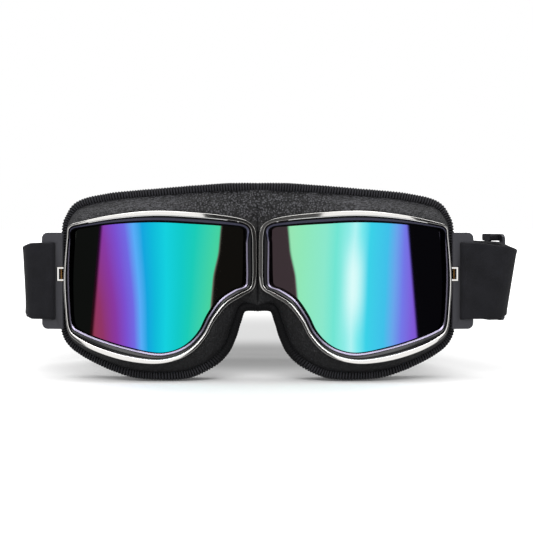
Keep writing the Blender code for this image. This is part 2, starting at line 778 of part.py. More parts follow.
def add_wing(zone, side, pivot):
    """Flat strap holder. Its near edge is rounded about the pin, and the strap goes through its slot."""
    half = WING_THICK / 2
    middle = WING_HEIGHT / 2
    x, y = wing_place(side)
    corner = WING_CORNER
    outline = [(0.0, -middle), (0.0, middle)]
    for sign in (1, -1):
        arc = [
            (
                WING_REACH - corner + corner * math.sin(math.pi / 2 * k / 4),
                sign * (middle - corner + corner * math.cos(math.pi / 2 * k / 4)),
            )
            for k in range(5)
        ]
        outline += arc if sign > 0 else arc[::-1]
    slot_middle = ((SLOT_NEAR + SLOT_FAR) / 2, sum(STRAP_Z) / 2 - WING_Z)
    slot = rounded_box(SLOT_FAR - SLOT_NEAR, SLOT_HEIGHT, 0.8, 2, slot_middle)
    notch_half = CLIP_HEIGHT / 2 + GAP
    notch_z = CLIP_Z - WING_Z
    notch_low, notch_high = notch_z - notch_half, notch_z + notch_half
    notch = [(-2.0, notch_low), (NOTCH_REACH, notch_low), (NOTCH_REACH, notch_high), (-2.0, notch_high)]
    yaw = WING_TURN if side > 0 else math.pi - WING_TURN
    turn = Matrix.Rotation(yaw, 4, "Z") @ Matrix.Rotation(math.pi / 2, 4, "X")
    place = Matrix.Translation(Vector((x, y, WING_Z)) * MM) @ turn
    wing = add_object(zone + "_wing", plate_mesh([outline, slot], WING_THICK, place), MATTE_BLACK, pivot)
    low_z, high_z = WING_Z - middle, WING_Z + middle
    near_edge = upright_cylinder(x, y, low_z, high_z, half)
    boolean(wing, add_cutter(zone + "_wing_round", near_edge, pivot), "UNION")
    boolean(wing, add_cutter(zone + "_wing_notch", plate_mesh([notch], 8.0, place), pivot))
    bore_half = WING_PIN_HALF + GAP
    bore = upright_cylinder(x, y, CLIP_Z - bore_half, CLIP_Z + bore_half, WING_BORE_RADIUS)
    boolean(wing, add_cutter(zone + "_wing_bore", bore, pivot))
    return wing


# ---------------------------------------------------------------- strap


def wing_point(side, along, across):
    """(x, y) at a distance along the wing from its pin, and across it towards the back."""
    x, y = wing_place(side)
    reach = along * math.cos(WING_TURN) - across * math.sin(WING_TURN)
    return x + side * reach, y + along * math.sin(WING_TURN) + across * math.cos(WING_TURN)


def add_strap_end(zone, side, pivot):
    """The strap's fold round the wing's outer bar, which comes out on both sides of it."""
    middle = SLOT_FAR - GAP - STRAP_THICK / 2
    tip = STRAP_END_REACH
    far = STRAP_FOLD_HALF
    route = [wing_point(side, tip, -far)]
    route += [wing_point(side, middle + 0.9, -far)]
    route += [wing_point(side, middle + 0.25, -far + 0.35)]
    route += [wing_point(side, middle, -far + 1.0), wing_point(side, middle, far - 1.0)]
    route += [wing_point(side, middle + 0.25, far - 0.35)]
    route += [wing_point(side, middle + 0.9, far), wing_point(side, tip, far)]
    return add_object(zone + "_strap_end", band_mesh(route, *STRAP_Z, STRAP_THICK), WEBBING, pivot)


def add_strap(pivots):
    low, high = STRAP_Z
    runs = {
        "right_strap_side": (RIGHT_SIDE_ROUTE, "right"),
        "strap_back": (BACK_ROUTE, "bridge"),
        "left_strap_side": (LEFT_SIDE_ROUTE, "left"),
        "left_strap_return": (LEFT_RETURN_ROUTE, "left"),
    }
    for name, (route, zone) in runs.items():
        line = smooth(route, 3, closed=False)
        if name == "strap_back":
            line = shortened(line)
        add_object(name, band_mesh(line, low, high, STRAP_THICK), WEBBING, pivots[zone])


def shortened(line):
    """The line with its two ends moved in by the gap that neighbouring bands keep."""
    first, last = Vector(line[0]), Vector(line[-1])
    first += (Vector(line[1]) - first).normalized() * GAP
    last += (Vector(line[-2]) - last).normalized() * GAP
    return [tuple(first), *line[1:-1], tuple(last)]


def add_adjuster(pivot):
    """Slide: an outer plate with two bars, rails round the strap's edges and an inner bar."""
    start = Vector(LEFT_SIDE_ROUTE[0])
    along = (Vector(LEFT_SIDE_ROUTE[3]) - start).normalized()
    low, high = STRAP_Z[0] - GAP, STRAP_Z[1] + GAP
    bottom, top = low - ADJUSTER_RAILS[0], high + ADJUSTER_RAILS[1]
    height, middle_z = top - bottom, (bottom + top) / 2
    turn = Matrix.Rotation(math.atan2(along.y, along.x), 4, "Z") @ Matrix.Rotation(math.pi / 2, 4, "X")

    def layer(outlines, across, thickness):
        place = Vector(ADJUSTER_MIDDLE) + Vector((-along.y, along.x)) * across
        matrix = Matrix.Translation(Vector((place.x, place.y, middle_z)) * MM) @ turn
        return plate_mesh(outlines, thickness, matrix)

    face = rounded_box(2 * ADJUSTER_HALF, height, 2.5)
    window_middle = (0.0, (low + high) / 2 - middle_z)
    window = rounded_box(2 * (ADJUSTER_HALF - ADJUSTER_BAR), high - low, 1.2, 3, window_middle)
    outside = STRAP_THICK / 2 + 0.5 + ADJUSTER_THICK / 2
    frame = add_object("adjuster_frame", layer([face, window], outside, ADJUSTER_THICK), MATTE_BLACK, pivot)
    rails = [
        rounded_box(9.0, upper - lower, 0.8, 3, (0.0, (lower + upper) / 2 - middle_z))
        for lower, upper in ((bottom, low), (high, top))
    ]
    reach = 2 * outside + ADJUSTER_THICK
    for k, rail in enumerate(rails):
        boolean(frame, add_cutter(f"adjuster_rail_{k}", layer([rail], 0.0, reach), pivot), "UNION")
    bar = rounded_box(4.0, height - 1.0, 1.0)
    boolean(frame, add_cutter("adjuster_bar", layer([bar], -outside, ADJUSTER_THICK), pivot), "UNION")
    return frame


# ---------------------------------------------------------------- assembly


def build():
    clear_scene()
    goggles = add_empty("goggles", (0.0, -DEPTH / 2, 0.0))
    goggles = (goggles[0], (0.0, 0.0, 0.0))
    hinges = {
        "bridge": goggles,
        "left": add_empty("left_fold_axis", (HINGE_U, HINGE_Y, HINGE_Z), goggles),
        "right": add_empty("right_fold_axis", (-HINGE_U, HINGE_Y, HINGE_Z), goggles),
    }
    for zone, side in (("left", 1), ("right", -1)):
        pivot = hinges[zone]
        add_rim(zone + "_rim", side, pivot)
        add_bezel(zone + "_bezel", side, pivot)
        add_lens(zone + "_lens", side, pivot)
        add_frame(zone + "_frame", side, pivot)
        add_hinge_half(zone, side, pivot)
        add_clip(zone, side, pivot)
        wing_axis = add_empty(zone + "_wing_axis", (*wing_place(side), CLIP_Z), pivot)
        add_wing(zone, side, wing_axis)
        add_strap_end(zone, side, wing_axis)
    add_bridge_link(goggles)
    add_padding(hinges)
    add_nose_pad(goggles)
    add_strap(hinges)
    slide = add_empty("adjuster_slide", (*ADJUSTER_MIDDLE, CLIP_Z), hinges["left"])
    add_adjuster(slide)


PARTS = new_collection("motorcycle_goggles")
CUTTERS = new_collection("cutters", hidden=True)
build()
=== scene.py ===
"""Looks of the motorcycle goggles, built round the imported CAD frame.

Left and right are the wearer's, and the goggles face -Y. Shapes are worked out in millimetres as (u, y, z):
u is the distance from the middle plane and y the distance behind the lens surface's foremost point. The lens
surface is the curve that the rims' fronts follow. Names that end in _D are depths behind it.
"""

import math

import bpy
import numpy as np
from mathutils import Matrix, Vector, noise


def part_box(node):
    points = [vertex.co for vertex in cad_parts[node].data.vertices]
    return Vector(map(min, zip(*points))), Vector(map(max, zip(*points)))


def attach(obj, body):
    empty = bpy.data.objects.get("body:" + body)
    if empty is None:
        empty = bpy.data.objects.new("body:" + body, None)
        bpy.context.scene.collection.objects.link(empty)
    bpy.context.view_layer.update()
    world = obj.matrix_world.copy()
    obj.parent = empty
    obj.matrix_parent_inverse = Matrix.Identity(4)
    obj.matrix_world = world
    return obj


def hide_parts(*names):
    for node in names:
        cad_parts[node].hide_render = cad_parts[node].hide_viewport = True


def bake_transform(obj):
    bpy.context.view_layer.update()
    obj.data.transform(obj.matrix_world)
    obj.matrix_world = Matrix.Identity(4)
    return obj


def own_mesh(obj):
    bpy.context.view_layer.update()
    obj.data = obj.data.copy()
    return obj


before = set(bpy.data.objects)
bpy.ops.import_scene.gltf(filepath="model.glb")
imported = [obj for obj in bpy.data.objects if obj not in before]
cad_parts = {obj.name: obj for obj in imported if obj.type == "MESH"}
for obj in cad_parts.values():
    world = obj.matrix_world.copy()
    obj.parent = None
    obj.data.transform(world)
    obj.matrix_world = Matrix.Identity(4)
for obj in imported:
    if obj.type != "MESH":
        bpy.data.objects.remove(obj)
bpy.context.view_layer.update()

MM = 0.001
FRONT_Y = -0.0735  # where the lens surface's foremost point is in the frame
SIDES = (("left", 1), ("right", -1))
TURN = 2 * math.pi

# ---------------- driving dimensions, in millimetres

LENS_RADIUS = 130.0
LENS_MIDDLE_U = 44.0
LENS_MIDDLE_Z = 45.0
LENS_TURN = -0.02
FRONT_SHIFT = LENS_TURN * LENS_MIDDLE_U - LENS_TURN**2 * LENS_RADIUS / 2
FACE_MIDDLE_Y = 29.0
FACE_RADIUS = 230.0

# Stations around one eye: rim's outer line (u, z), bezel's inner line (u, z), then the padding's outer
# edge (u, z) and how far it lies behind the lens surface. Where the edge is at u = 0 it is the middle seam.
STATIONS = np.array(
    (
        (86.2, 65.0, 84.8, 63.5, 90.2, 67.5, 15.0),
        (85.2, 70.3, 83.9, 68.2, 88.1, 75.0, 14.5),
        (79.5, 72.4, 78.5, 69.6, 81.6, 82.0, 13.5),
        (65.0, 75.4, 64.0, 71.3, 66.0, 85.6, 12.5),
        (47.0, 77.2, 46.0, 72.0, 44.0, 87.6, 12.0),
        (29.0, 76.5, 30.0, 71.3, 25.0, 89.2, 11.5),
        (12.5, 74.7, 14.0, 70.2, 10.0, 90.0, 9.5),
        (4.0, 72.2, 6.6, 69.2, 0.0, 85.5, 7.5),
        (0.9, 67.5, 5.5, 65.5, 0.0, 73.0, 6.0),
        (0.5, 57.0, 5.3, 56.0, 0.0, 57.0, 5.5),
        (0.6, 47.0, 5.2, 47.0, 0.0, 45.0, 5.5),
        (1.9, 41.8, 5.9, 43.2, 0.0, 36.0, 6.5),
        (6.5, 38.8, 10.5, 41.4, 5.6, 31.2, 7.5),
        (13.5, 34.6, 16.8, 37.2, 7.5, 26.2, 8.5),
        (19.3, 27.6, 22.0, 30.0, 9.8, 19.0, 9.5),
        (23.3, 20.4, 25.8, 22.8, 13.6, 11.6, 9.5),
        (29.2, 13.9, 31.3, 17.2, 20.6, 5.4, 9.5),
        (37.0, 9.9, 38.2, 13.9, 31.0, 1.0, 9.5),
        (47.0, 8.4, 46.5, 13.1, 43.0, 0.1, 9.5),
        (60.0, 9.9, 60.0, 15.9, 57.5, 1.4, 10.5),
        (72.5, 13.6, 71.5, 19.3, 70.5, 5.8, 11.5),
        (81.5, 18.2, 80.0, 22.7, 82.6, 11.9, 13.0),
        (85.8, 23.0, 83.9, 25.8, 89.2, 18.4, 14.5),
        (87.2, 33.5, 85.0, 35.0, 91.0, 28.0, 15.0),
        (87.8, 47.0, 85.4, 49.0, 91.0, 47.0, 15.0),
    )
)
SEAM_STATIONS = range(7, 12)
BRIDGE_TOP = (0.0, 90.0, 8.5)
BRIDGE_BOTTOM = (0.0, 31.2, 7.0)
STEPS = 12  # points from one station to the next

RIM_DEPTH = 5.1
RIM_SHARE = 0.38
RIM_CLEARANCE = 0.2
RIM_EDGE = 0.22  # width of the rounded edge on each side of the rim's flat front
BEZEL_BACK_D = 4.2
LENS_EDGE_SHARE = 0.75
LENS_FRONT_D = 4.5
LENS_THICK = 1.1
LENS_SET_BACK = 0.35  # how much deeper the mirror's face lies than the CAD's
MIRROR_SPAN = 90.0  # how far from the middle plane the coating's colours are set out
LENS_ROLL = math.radians(5.2)  # the lens's axis leans inwards at the top
COVER_D = 5.6
COVER_THICK = 0.9
COVER_INSET = 2.4  # from the padding's edge to the cover's, under the hem
FRAME_FRONT_D = 6.9
FRAME_BACK_D = 9.5
FRAME_OUTER_INSET = 3.3
FRAME_INNER_INSET = 6.8
HEM_RADIUS = 2.1
HEM_PITCH = 1.25
HEM_RIB = 0.34  # depth of the grooves between ribs, as a share of the radius
HEM_SPACING = 0.18  # between cross-sections
FOAM_INSET = 0.3
FOAM_WIDTH = 10.0
FOAM_FRONT_D = 10.2
FOAM_LEAST_D = 12.6
FOOT_DROP = 1.2
FOOT_RISE = 6.0
FACING_THICK = 0.8
GAP = 0.3
EYECUP_EDGE_U = 9.4

WING_AXIS_U = 89.2
WING_D = 4.5
WING_TURN = math.radians(10)
SLOT_FAR = 4.5
STRAP_Z = (28.0, 62.7)
STRAP_THICK = 1.5
STRAP_FOLD_HALF = 1.1 + GAP + STRAP_THICK / 2
STRAP_SPACING = 1.0  # between cross-sections
STRAP_WIDEST = {1: 115.2, -1: 106.4}
STRAP_LEAN = {1: 2.4, -1: 1.1}  # how far the top leans out where the strap turns back
STRAP_SINK = {1: 1.8, -1: 0.6}  # how far the top sinks there
STRAP_DRAW_IN = 1.2
STRAP_SAG = {1: 0.0, -1: 3.0}


# ---------------- curves


def lens_y(u):
    """Depth of the lens surface, the same at every height."""
    return LENS_TURN * u + (u - LENS_MIDDLE_U) ** 2 / (2 * LENS_RADIUS) - FRONT_SHIFT


def face_y(u):
    """Depth of the padding's rear face."""
    return FACE_MIDDLE_Y + u * u / (2 * FACE_RADIUS)


def smooth(points, steps, closed=True):
    """Points of a Catmull-Rom curve through the given points."""
    points = np.asarray(points, float)
    count = len(points)
    starts = np.arange(count if closed else count - 1)
    if closed:
        quad = [points[(starts + k - 1) % count] for k in range(4)]
    else:
        quad = [points[np.clip(starts + k - 1, 0, count - 1)] for k in range(4)]
    t = (np.arange(steps) / steps)[None, :, None]
    weights = (
        -0.5 * t + t * t - 0.5 * t**3,
        1 - 2.5 * t * t + 1.5 * t**3,
        0.5 * t + 2 * t * t - 1.5 * t**3,
        -0.5 * t * t + 0.5 * t**3,
    )
    found = sum(w * p[:, None, :] for w, p in zip(weights, quad)).reshape(-1, points.shape[1])
    return found if closed else np.vstack((found, points[-1:]))


def inset(points, distance):
    """A closed (u, z) loop moved to the left of its direction, which is inwards for the loops here."""
    along = np.roll(points, -1, axis=0) - np.roll(points, 1, axis=0)
    along /= np.linalg.norm(along, axis=1)[:, None]
    return points + distance * np.stack((-along[:, 1], along[:, 0]), axis=1)


def mix(a, b, share):
    return a + share * (b - a)


def evenly(points, spacing):
    """An open line with its points at an even spacing."""
    run = np.concatenate(([0.0], np.cumsum(np.linalg.norm(np.diff(points, axis=0), axis=1))))
    places = np.linspace(0.0, run[-1], max(2, round(run[-1] / spacing) + 1))
    return np.stack([np.interp(places, run, points[:, k]) for k in range(points.shape[1])], axis=1)


def half_edge():
    """The padding's edge on one side, from the bridge's bottom to its top, as (u, z, depth)."""
    first = SEAM_STATIONS[-1] + 1
    order = [*range(first, len(STATIONS)), *range(SEAM_STATIONS[0])]
    return np.vstack((BRIDGE_BOTTOM, STATIONS[order, 4:7], BRIDGE_TOP))


def whole_edge():
    """The same edge on both sides, as a closed loop."""
    half = half_edge()
    return np.vstack((half, half[-2:0:-1] * (-1, 1, 1)))


def half_edge_inset(distance):
    """The half edge moved inwards, as (u, z, depth)."""
    edge = whole_edge()
    half = half_edge()
    half[:, :2] = inset(edge[:, :2], distance)[: len(half)]
    return half


def edge_inset(distance, seam_u, share=0.0, seam_ends=None):
    """The edge stations moved inwards. Those on the middle seam go to seam_u, a share of the way to the lens.

    seam_ends gives the seam's top and bottom heights, where they are not its stations' own.
    """
    half = half_edge()
    moved = half_edge_inset(distance)
    found = []
    for i, station in enumerate(STATIONS):
        if i in SEAM_STATIONS:
            found.append((seam_u, station[5] + share * (station[3] - station[5])))
            if seam_ends and i == SEAM_STATIONS[0]:
                found[-1] = (seam_u, seam_ends[0])
            if seam_ends and i == SEAM_STATIONS[-1]:
                found[-1] = (seam_u, seam_ends[1])
        else:
            match = np.flatnonzero((half[:, 0] == station[4]) & (half[:, 1] == station[5]))[0]
            found.append(moved[match, :2])
    return smooth(found, STEPS)


RIM_LINE = smooth(STATIONS[:, 0:2], STEPS)
BEZEL_LINE = smooth(STATIONS[:, 2:4], STEPS)
EDGE_DEPTH = smooth(STATIONS[:, 6:7], STEPS)[:, 0]


def on_lens(line, depth):
    """(u, y, z) points of a (u, z) line that lies depth behind the lens surface."""
    return np.stack((line[:, 0], lens_y(line[:, 0]) + depth, line[:, 1]), axis=1)


def before_face(line, distance):
    """(u, y, z) points of a (u, z) line that lies distance in front of the padding's rear face."""
    return np.stack((line[:, 0], face_y(line[:, 0]) - distance, line[:, 1]), axis=1)


def rise(x, low, high):
    """A smooth step from 0 at low to 1 at high."""
    t = np.clip((x - low) / (high - low), 0, 1)
    return t * t * (3 - 2 * t)


def bump(x, middle, half):
    """A smooth hump from 0 at a distance half from the middle to 1 at the middle."""
    return rise(np.abs(x - middle), half, 0.0)


def noise_at(points, scale):
    """Smooth noise from -1 to 1 at points in millimetres. scale is its features' size on each axis."""
    stretched = points / np.asarray(scale)
    return np.array([noise.noise(Vector(p)) for p in stretched.reshape(-1, 3)]).reshape(points.shape[:-1])


# ---------------- meshes


def to_frame(points, side=1):
    """(u, y, z) in millimetres to the frame's metres."""
    found = np.array(points, float) * MM
    found[..., 0] *= side
    found[..., 1] += FRONT_Y
    return found


def grid_object(name, points, wrap_rows, wrap_across, zones=None):
    """A closed mesh from a (rows, across, 3) grid of points in metres. Its UV map is its lay in millimetres.

    zones gives a material number for each point across, for the faces that start there.
    """
    index = np.arange(points.shape[0] * points.shape[1]).reshape(points.shape[:2])
    if wrap_rows:
        index = np.vstack((index, index[:1]))
    if wrap_across:
        index = np.hstack((index, index[:, :1]))
    flat = points.reshape(-1, 3)
    full = flat[index]
    run = np.linalg.norm(np.diff(full, axis=0), axis=2).mean(axis=1)
    girth = np.linalg.norm(np.diff(full, axis=1), axis=2).mean(axis=0)
    places = [np.concatenate(([0.0], np.cumsum(steps))) for steps in (run, girth)]
    lay = np.stack(np.meshgrid(*places, indexing="ij"), axis=-1) / MM

    def corners(grid):
        quads = (grid[:-1, :-1], grid[1:, :-1], grid[1:, 1:], grid[:-1, 1:])
        return np.stack(quads, axis=2).reshape(-1, 4, *grid.shape[2:])

    faces = corners(index)
    lays = corners(lay)
    a, b, c, d = (flat[faces[:, k]] for k in range(4))
    volume = np.einsum("ij,ij->i", a, np.cross(b, c) + np.cross(c, d)).sum()
    if volume < 0:
        faces = faces[:, ::-1]
        lays = lays[:, ::-1]
    face_list = faces.tolist()
    if not wrap_rows:
        ends = [index[0, :-1].tolist(), index[-1, :-1].tolist()[::-1]]
        face_list += ends if volume >= 0 else [end[::-1] for end in ends]
    mesh = bpy.data.meshes.new(name)
    mesh.from_pydata(flat.tolist(), [], face_list)
    layer = mesh.uv_layers.new(name="lay")
    values = np.zeros((len(mesh.loops), 2), np.float32)
    values[: lays.shape[0] * 4] = lays.reshape(-1, 2)
    layer.data.foreach_set("uv", values.ravel())
    if zones is not None:
        numbers = np.zeros(len(mesh.polygons), np.int32)
        numbers[: len(faces)] = np.tile(zones, index.shape[0] - 1)
        mesh.polygons.foreach_set("material_index", numbers)
    mesh.shade_smooth()
    mesh.set_sharp_from_angle(angle=math.radians(50))
    obj = bpy.data.objects.new(name, mesh)
    bpy.context.scene.collection.objects.link(obj)
    return obj


def ring(name, side, lines, zones=None):
    """A closed ring round an eye from its long lines, each (points, 3) in millimetres."""
    return grid_object(name, to_frame(np.stack(lines, axis=1), side), True, True, zones)


def tube(name, side, line, radii):
    """A tube along an open line in millimetres. radii holds a radius for each point and each way round."""
    along = np.gradient(line, axis=0)
    along /= np.linalg.norm(along, axis=1)[:, None]
    across = np.cross(along, (0.0, 1.0, 0.0))
    across /= np.linalg.norm(across, axis=1)[:, None]
    back = np.cross(along, across)
    ways = np.linspace(0, TURN, radii.shape[1], endpoint=False)[None, :, None]
    spokes = np.cos(ways) * across[:, None, :] + np.sin(ways) * back[:, None, :]
    points = line[:, None, :] + radii[:, :, None] * spokes
    return grid_object(name, to_frame(points, side), False, True)


def rounded_loop(polygon, passes):
    """Corner cutting of a closed polygon whose corners are lines: (corners, points, 3)."""
    for _ in range(passes):
        after = np.roll(polygon, -1, axis=0)
        polygon = np.stack((0.75 * polygon + 0.25 * after, 0.25 * polygon + 0.75 * after), axis=1)
        polygon = polygon.reshape(-1, *after.shape[1:])
    return polygon


def band(name, route):
    """The strap's flat band on edge along a plan route of (x, y) in millimetres, with round edges.

    It spreads slightly in the wing's slot. Where it turns back, its edges draw in and its top leans outwards
    and sinks. Its right side sags a little further back.
    """
    line = evenly(smooth(route, 16, closed=False), STRAP_SPACING)
    side = 1 if line[0, 0] > 0 else -1
    along = np.gradient(line, axis=0)
    along /= np.linalg.norm(along, axis=1)[:, None]
    across = np.stack((-along[:, 1], along[:, 0]), axis=1)
    half = STRAP_THICK / 2
    arc = np.linspace(0, math.pi, 7)[1:-1]
    share = np.linspace(0, 1, 36)
    thick = half * (0.86 + 0.14 * np.clip(1.5 - np.minimum(share, 1 - share) * 20, 0, 1))
    offsets = np.concatenate((thick, half * np.cos(arc), -thick[::-1], -half * np.cos(arc)))
    level = np.concatenate((share, np.ones(len(arc)), share[::-1], np.zeros(len(arc))))
    bulge = np.concatenate((0 * share, half * np.sin(arc), 0 * share, -half * np.sin(arc)))
    out, y = np.abs(line[:, 0]), line[:, 1]
    turning = bump(y, 16.0, 14.0) * np.clip((out - 100.0) / 8.0, 0, 1)
    turned = rise(out, STRAP_WIDEST[side] - 3.6, STRAP_WIDEST[side]) * (1 - 0.6 * rise(y, 30.0, 60.0))
    pinch = STRAP_DRAW_IN * turned - 0.3 * bump(out, WING_AXIS_U + 3.4, 2.2) * (y < 30.0)
    sag = STRAP_SAG[side] * rise(y, 22.0, 75.0) * rise(y, 144.0, 120.0)
    low = STRAP_Z[0] + half + pinch - sag
    high = STRAP_Z[1] - half - pinch - sag - STRAP_SINK[side] * turning
    points = np.empty((len(line), len(offsets), 3))
    points[:, :, :2] = line[:, None, :] + offsets[None, :, None] * across[:, None, :]
    points[:, :, 0] += side * STRAP_LEAN[side] * turning[:, None] * (2 * level[None, :] - 1)
    points[:, :, 2] = low[:, None] + (high - low)[:, None] * level[None, :] + bulge[None, :]
    return grid_object(name, to_frame(points), False, True)


def even_shading(obj):
    """Lets the broad faces set the shading, so that flat bands look flat."""
    normals = obj.modifiers.new("even_shading", "WEIGHTED_NORMAL")
    normals.weight = 80
    normals.keep_sharp = True


def dress(obj, slot, *finishes):
    for finish in finishes:
        obj.data.materials.append(finish)


# ---------------- finishes


def srgb(*levels):
    """A colour given by its 0 to 255 display levels."""
    shares = [level / 255 for level in levels]
    return (*((s / 12.92 if s <= 0.04045 else ((s + 0.055) / 1.055) ** 2.4) for s in shares), 1.0)


class Nodes:
    """Short ways to add nodes to a tree. An input is a value, or a socket to link."""

    def __init__(self, tree):
        self.tree = tree

    def node(self, kind, inputs=None, **properties):
        made = self.tree.nodes.new("ShaderNode" + kind)
        for key, value in properties.items():
            setattr(made, key, value)
        for key, value in (inputs or {}).items():
            self.join(value, made.inputs[key])
        return made

    def join(self, value, socket):
        if isinstance(value, bpy.types.NodeSocket):
            self.tree.links.new(value, socket)
        else:
            socket.default_value = value

    def maths(self, operation, a, b=0.0, c=0.0):
        return self.node("Math", {0: a, 1: b, 2: c}, operation=operation).outputs[0]

    def times(self, first, *others):
        for other in others:
            first = self.maths("MULTIPLY", first, other)
        return first

    def range(self, value, low, high, to_low=0.0, to_high=1.0):
        """A smooth step from to_low at low to to_high at high."""
        inputs = {"Value": value, "From Min": low, "From Max": high, "To Min": to_low, "To Max": to_high}
        return self.node("MapRange", inputs, interpolation_type="SMOOTHSTEP").outputs["Result"]


class Finish(Nodes):
    """A material. settings are values for its shader's sockets."""

    def __init__(self, name, **settings):
        self.material = bpy.data.materials.new(name)
        self.material.use_nodes = True
        super().__init__(self.material.node_tree)
        self.shader = self.tree.nodes["Principled BSDF"]
        for socket, value in settings.items():
            self.set(socket.replace("_", " "), value)
        self.where = self.node("TexCoord").outputs["Object"]

    def set(self, socket, value):
        self.join(value, next(s for s in self.shader.inputs if s.name.lower() == socket.lower()))

    def noise(self, scale, detail=2.0, where=None, roughness=0.5):
        inputs = {"Vector": where or self.where, "Scale": scale, "Detail": detail, "Roughness": roughness}
        return self.node("TexNoise", inputs).outputs["Fac"]

    def cells(self, scale, feature="F1", where=None):
        inputs = {"Vector": where or self.where, "Scale": scale}
        return self.node("TexVoronoi", inputs, feature=feature).outputs["Distance"]

    def blend(self, factor, a, b):
        """A mix of two colours, which are the node's inputs 6 and 7."""
        return self.node("Mix", {"Factor": factor, 6: a, 7: b}, data_type="RGBA").outputs[2]

    def ramp(self, factor, stops):
        made = self.node("ValToRGB", {"Fac": factor})
        elements = made.color_ramp.elements
        for place, colour in stops[1:-1]:
            elements.new(place).color = colour
        for element, (place, colour) in ((elements[0], stops[0]), (elements[len(stops) - 1], stops[-1])):
            element.position = place
            element.color = colour
        return made.outputs["Color"]

    def axes(self):
        return self.node("SeparateXYZ", {0: self.where}).outputs

    def out(self):
        """Distance from the middle plane."""
        return self.maths("ABSOLUTE", self.axes()[0])

    def stretched(self, scale):
        return self.node("VectorMath", {0: self.where, 1: scale}, operation="MULTIPLY").outputs[0]

    def lay(self):
        """Along and across the piece, in millimetres."""
        uv = self.node("UVMap", uv_map="lay").outputs["UV"]
        parts = self.node("SeparateXYZ", {0: uv}).outputs
        return parts["X"], parts["Y"]

    def relief(self, height, depth_mm, strength=1.0):
        inputs = {"Height": height, "Distance": depth_mm * MM, "Strength": strength}
        return self.node("Bump", inputs).outputs["Normal"]


def chrome_finish(name, lean=0.0, at_arch=0.0, at_corner=0.0):
    """Polished chrome. A rim's face can lean along X, with more or less of it at two places.

    at_arch is added along the nose's arch and at_corner towards the upper outer corner.
    """
    made = Finish(name, Base_Color=srgb(238, 236, 233), Metallic=1.0)
    smears = made.noise(180.0, 4.0)
    scratches = made.noise(900.0, 2.0, made.stretched((1.0, 1.0, 7.0)))
    made.set("Roughness", made.maths("MULTIPLY_ADD", smears, 0.09, 0.035))
    normal = made.relief(scratches, 0.002, 0.4)
    if lean:
        out, z = made.out(), made.axes()[2]
        arch = made.times(made.range(z, 50 * MM, 42 * MM), made.range(out, 42 * MM, 26 * MM))
        corner = made.times(made.range(out, 36 * MM, 72 * MM), made.range(out, 87 * MM, 81 * MM))
        corner = made.times(corner, made.range(z, 50 * MM, 60 * MM))
        tilt = made.maths("MULTIPLY_ADD", corner, at_corner, lean)
        tilt = made.maths("MULTIPLY_ADD", arch, at_arch, tilt)
        leaning = {0: normal, 1: made.node("CombineXYZ", {0: tilt}).outputs[0]}
        normal = made.node("VectorMath", leaning, operation="ADD").outputs[0]
        normal = made.node("VectorMath", {0: normal}, operation="NORMALIZE").outputs[0]
    made.set("Normal", normal)
    return made.material


def lip_highlight_finish():
    """Lip of the retaining ring beside the lens. Its light metal colour is painted highlight, dimmer along
    the top.
    """
    made = Finish("painted_lip_highlight", Metallic=0.85)
    grain = made.noise(700.0, 3.0)
    upper = made.range(made.axes()[2], 62 * MM, 66 * MM)
    # The top mask and the grain set how dim the lip's painted highlight is.
    dimmer_top_and_grain = made.maths("MULTIPLY_ADD", grain, 0.2, upper)
    made.set("Base Color", made.blend(dimmer_top_and_grain, srgb(138, 132, 152), srgb(86, 86, 106)))
    made.set("Roughness", made.maths("MULTIPLY_ADD", grain, 0.1, 0.25))
    made.set("Normal", made.relief(grain, 0.003))
    return made.material


def gloss_finish():
    made = Finish("gloss_black_plastic", IOR=1.3)
    waves = made.noise(120.0, 2.0)
    dust = made.noise(2400.0, 2.0)
    made.set("Base Color", made.blend(dust, srgb(5, 5, 7), srgb(15, 15, 19)))
    made.set("Roughness", made.maths("MULTIPLY_ADD", waves, 0.1, 0.1))
    made.set("Normal", made.relief(waves, 0.03))
    return made.material


def shade_finish():
    """Dull black wall between the ring's lip and the lens."""
    made = Finish("ring_wall", Roughness=0.9, IOR=1.1)
    made.set("Base Color", made.blend(made.noise(500.0, 2.0), srgb(3, 3, 4), srgb(9, 9, 11)))
    return made.material


def moulded_finish():
    """Satin moulded plastic with a fine spark-eroded grain, coloured lighter on its sharpest edges."""
    made = Finish("moulded_black_plastic", IOR=1.42)
    grain = made.noise(2600.0, 3.0)
    patches = made.noise(60.0, 3.0)
    edges = made.node("NewGeometry").outputs["Pointiness"]
    sharp_edge_lightening = made.range(edges, 0.52, 0.6)
    base = made.blend(patches, srgb(13, 13, 16), srgb(23, 23, 28))
    made.set("Base Color", made.blend(sharp_edge_lightening, base, srgb(50, 50, 55)))
    made.set("Roughness", made.maths("MULTIPLY_ADD", grain, 0.2, 0.3))
    made.set("Normal", made.relief(grain, 0.02))
    return made.material


def metal_finish(name, dark, light, roughness, squeeze=(1.0, 1.0, 14.0)):
    """Brushed or turned metal with faint tarnish."""
    made = Finish(name, Metallic=1.0)
    brushed = made.noise(420.0, 3.0, made.stretched(squeeze))
    tarnish = made.noise(150.0, 4.0)
    made.set("Base Color", made.blend(tarnish, dark, light))
    made.set("Roughness", made.maths("MULTIPLY_ADD", brushed, 0.2, roughness))
    made.set("Normal", made.relief(brushed, 0.008))
    return made.material


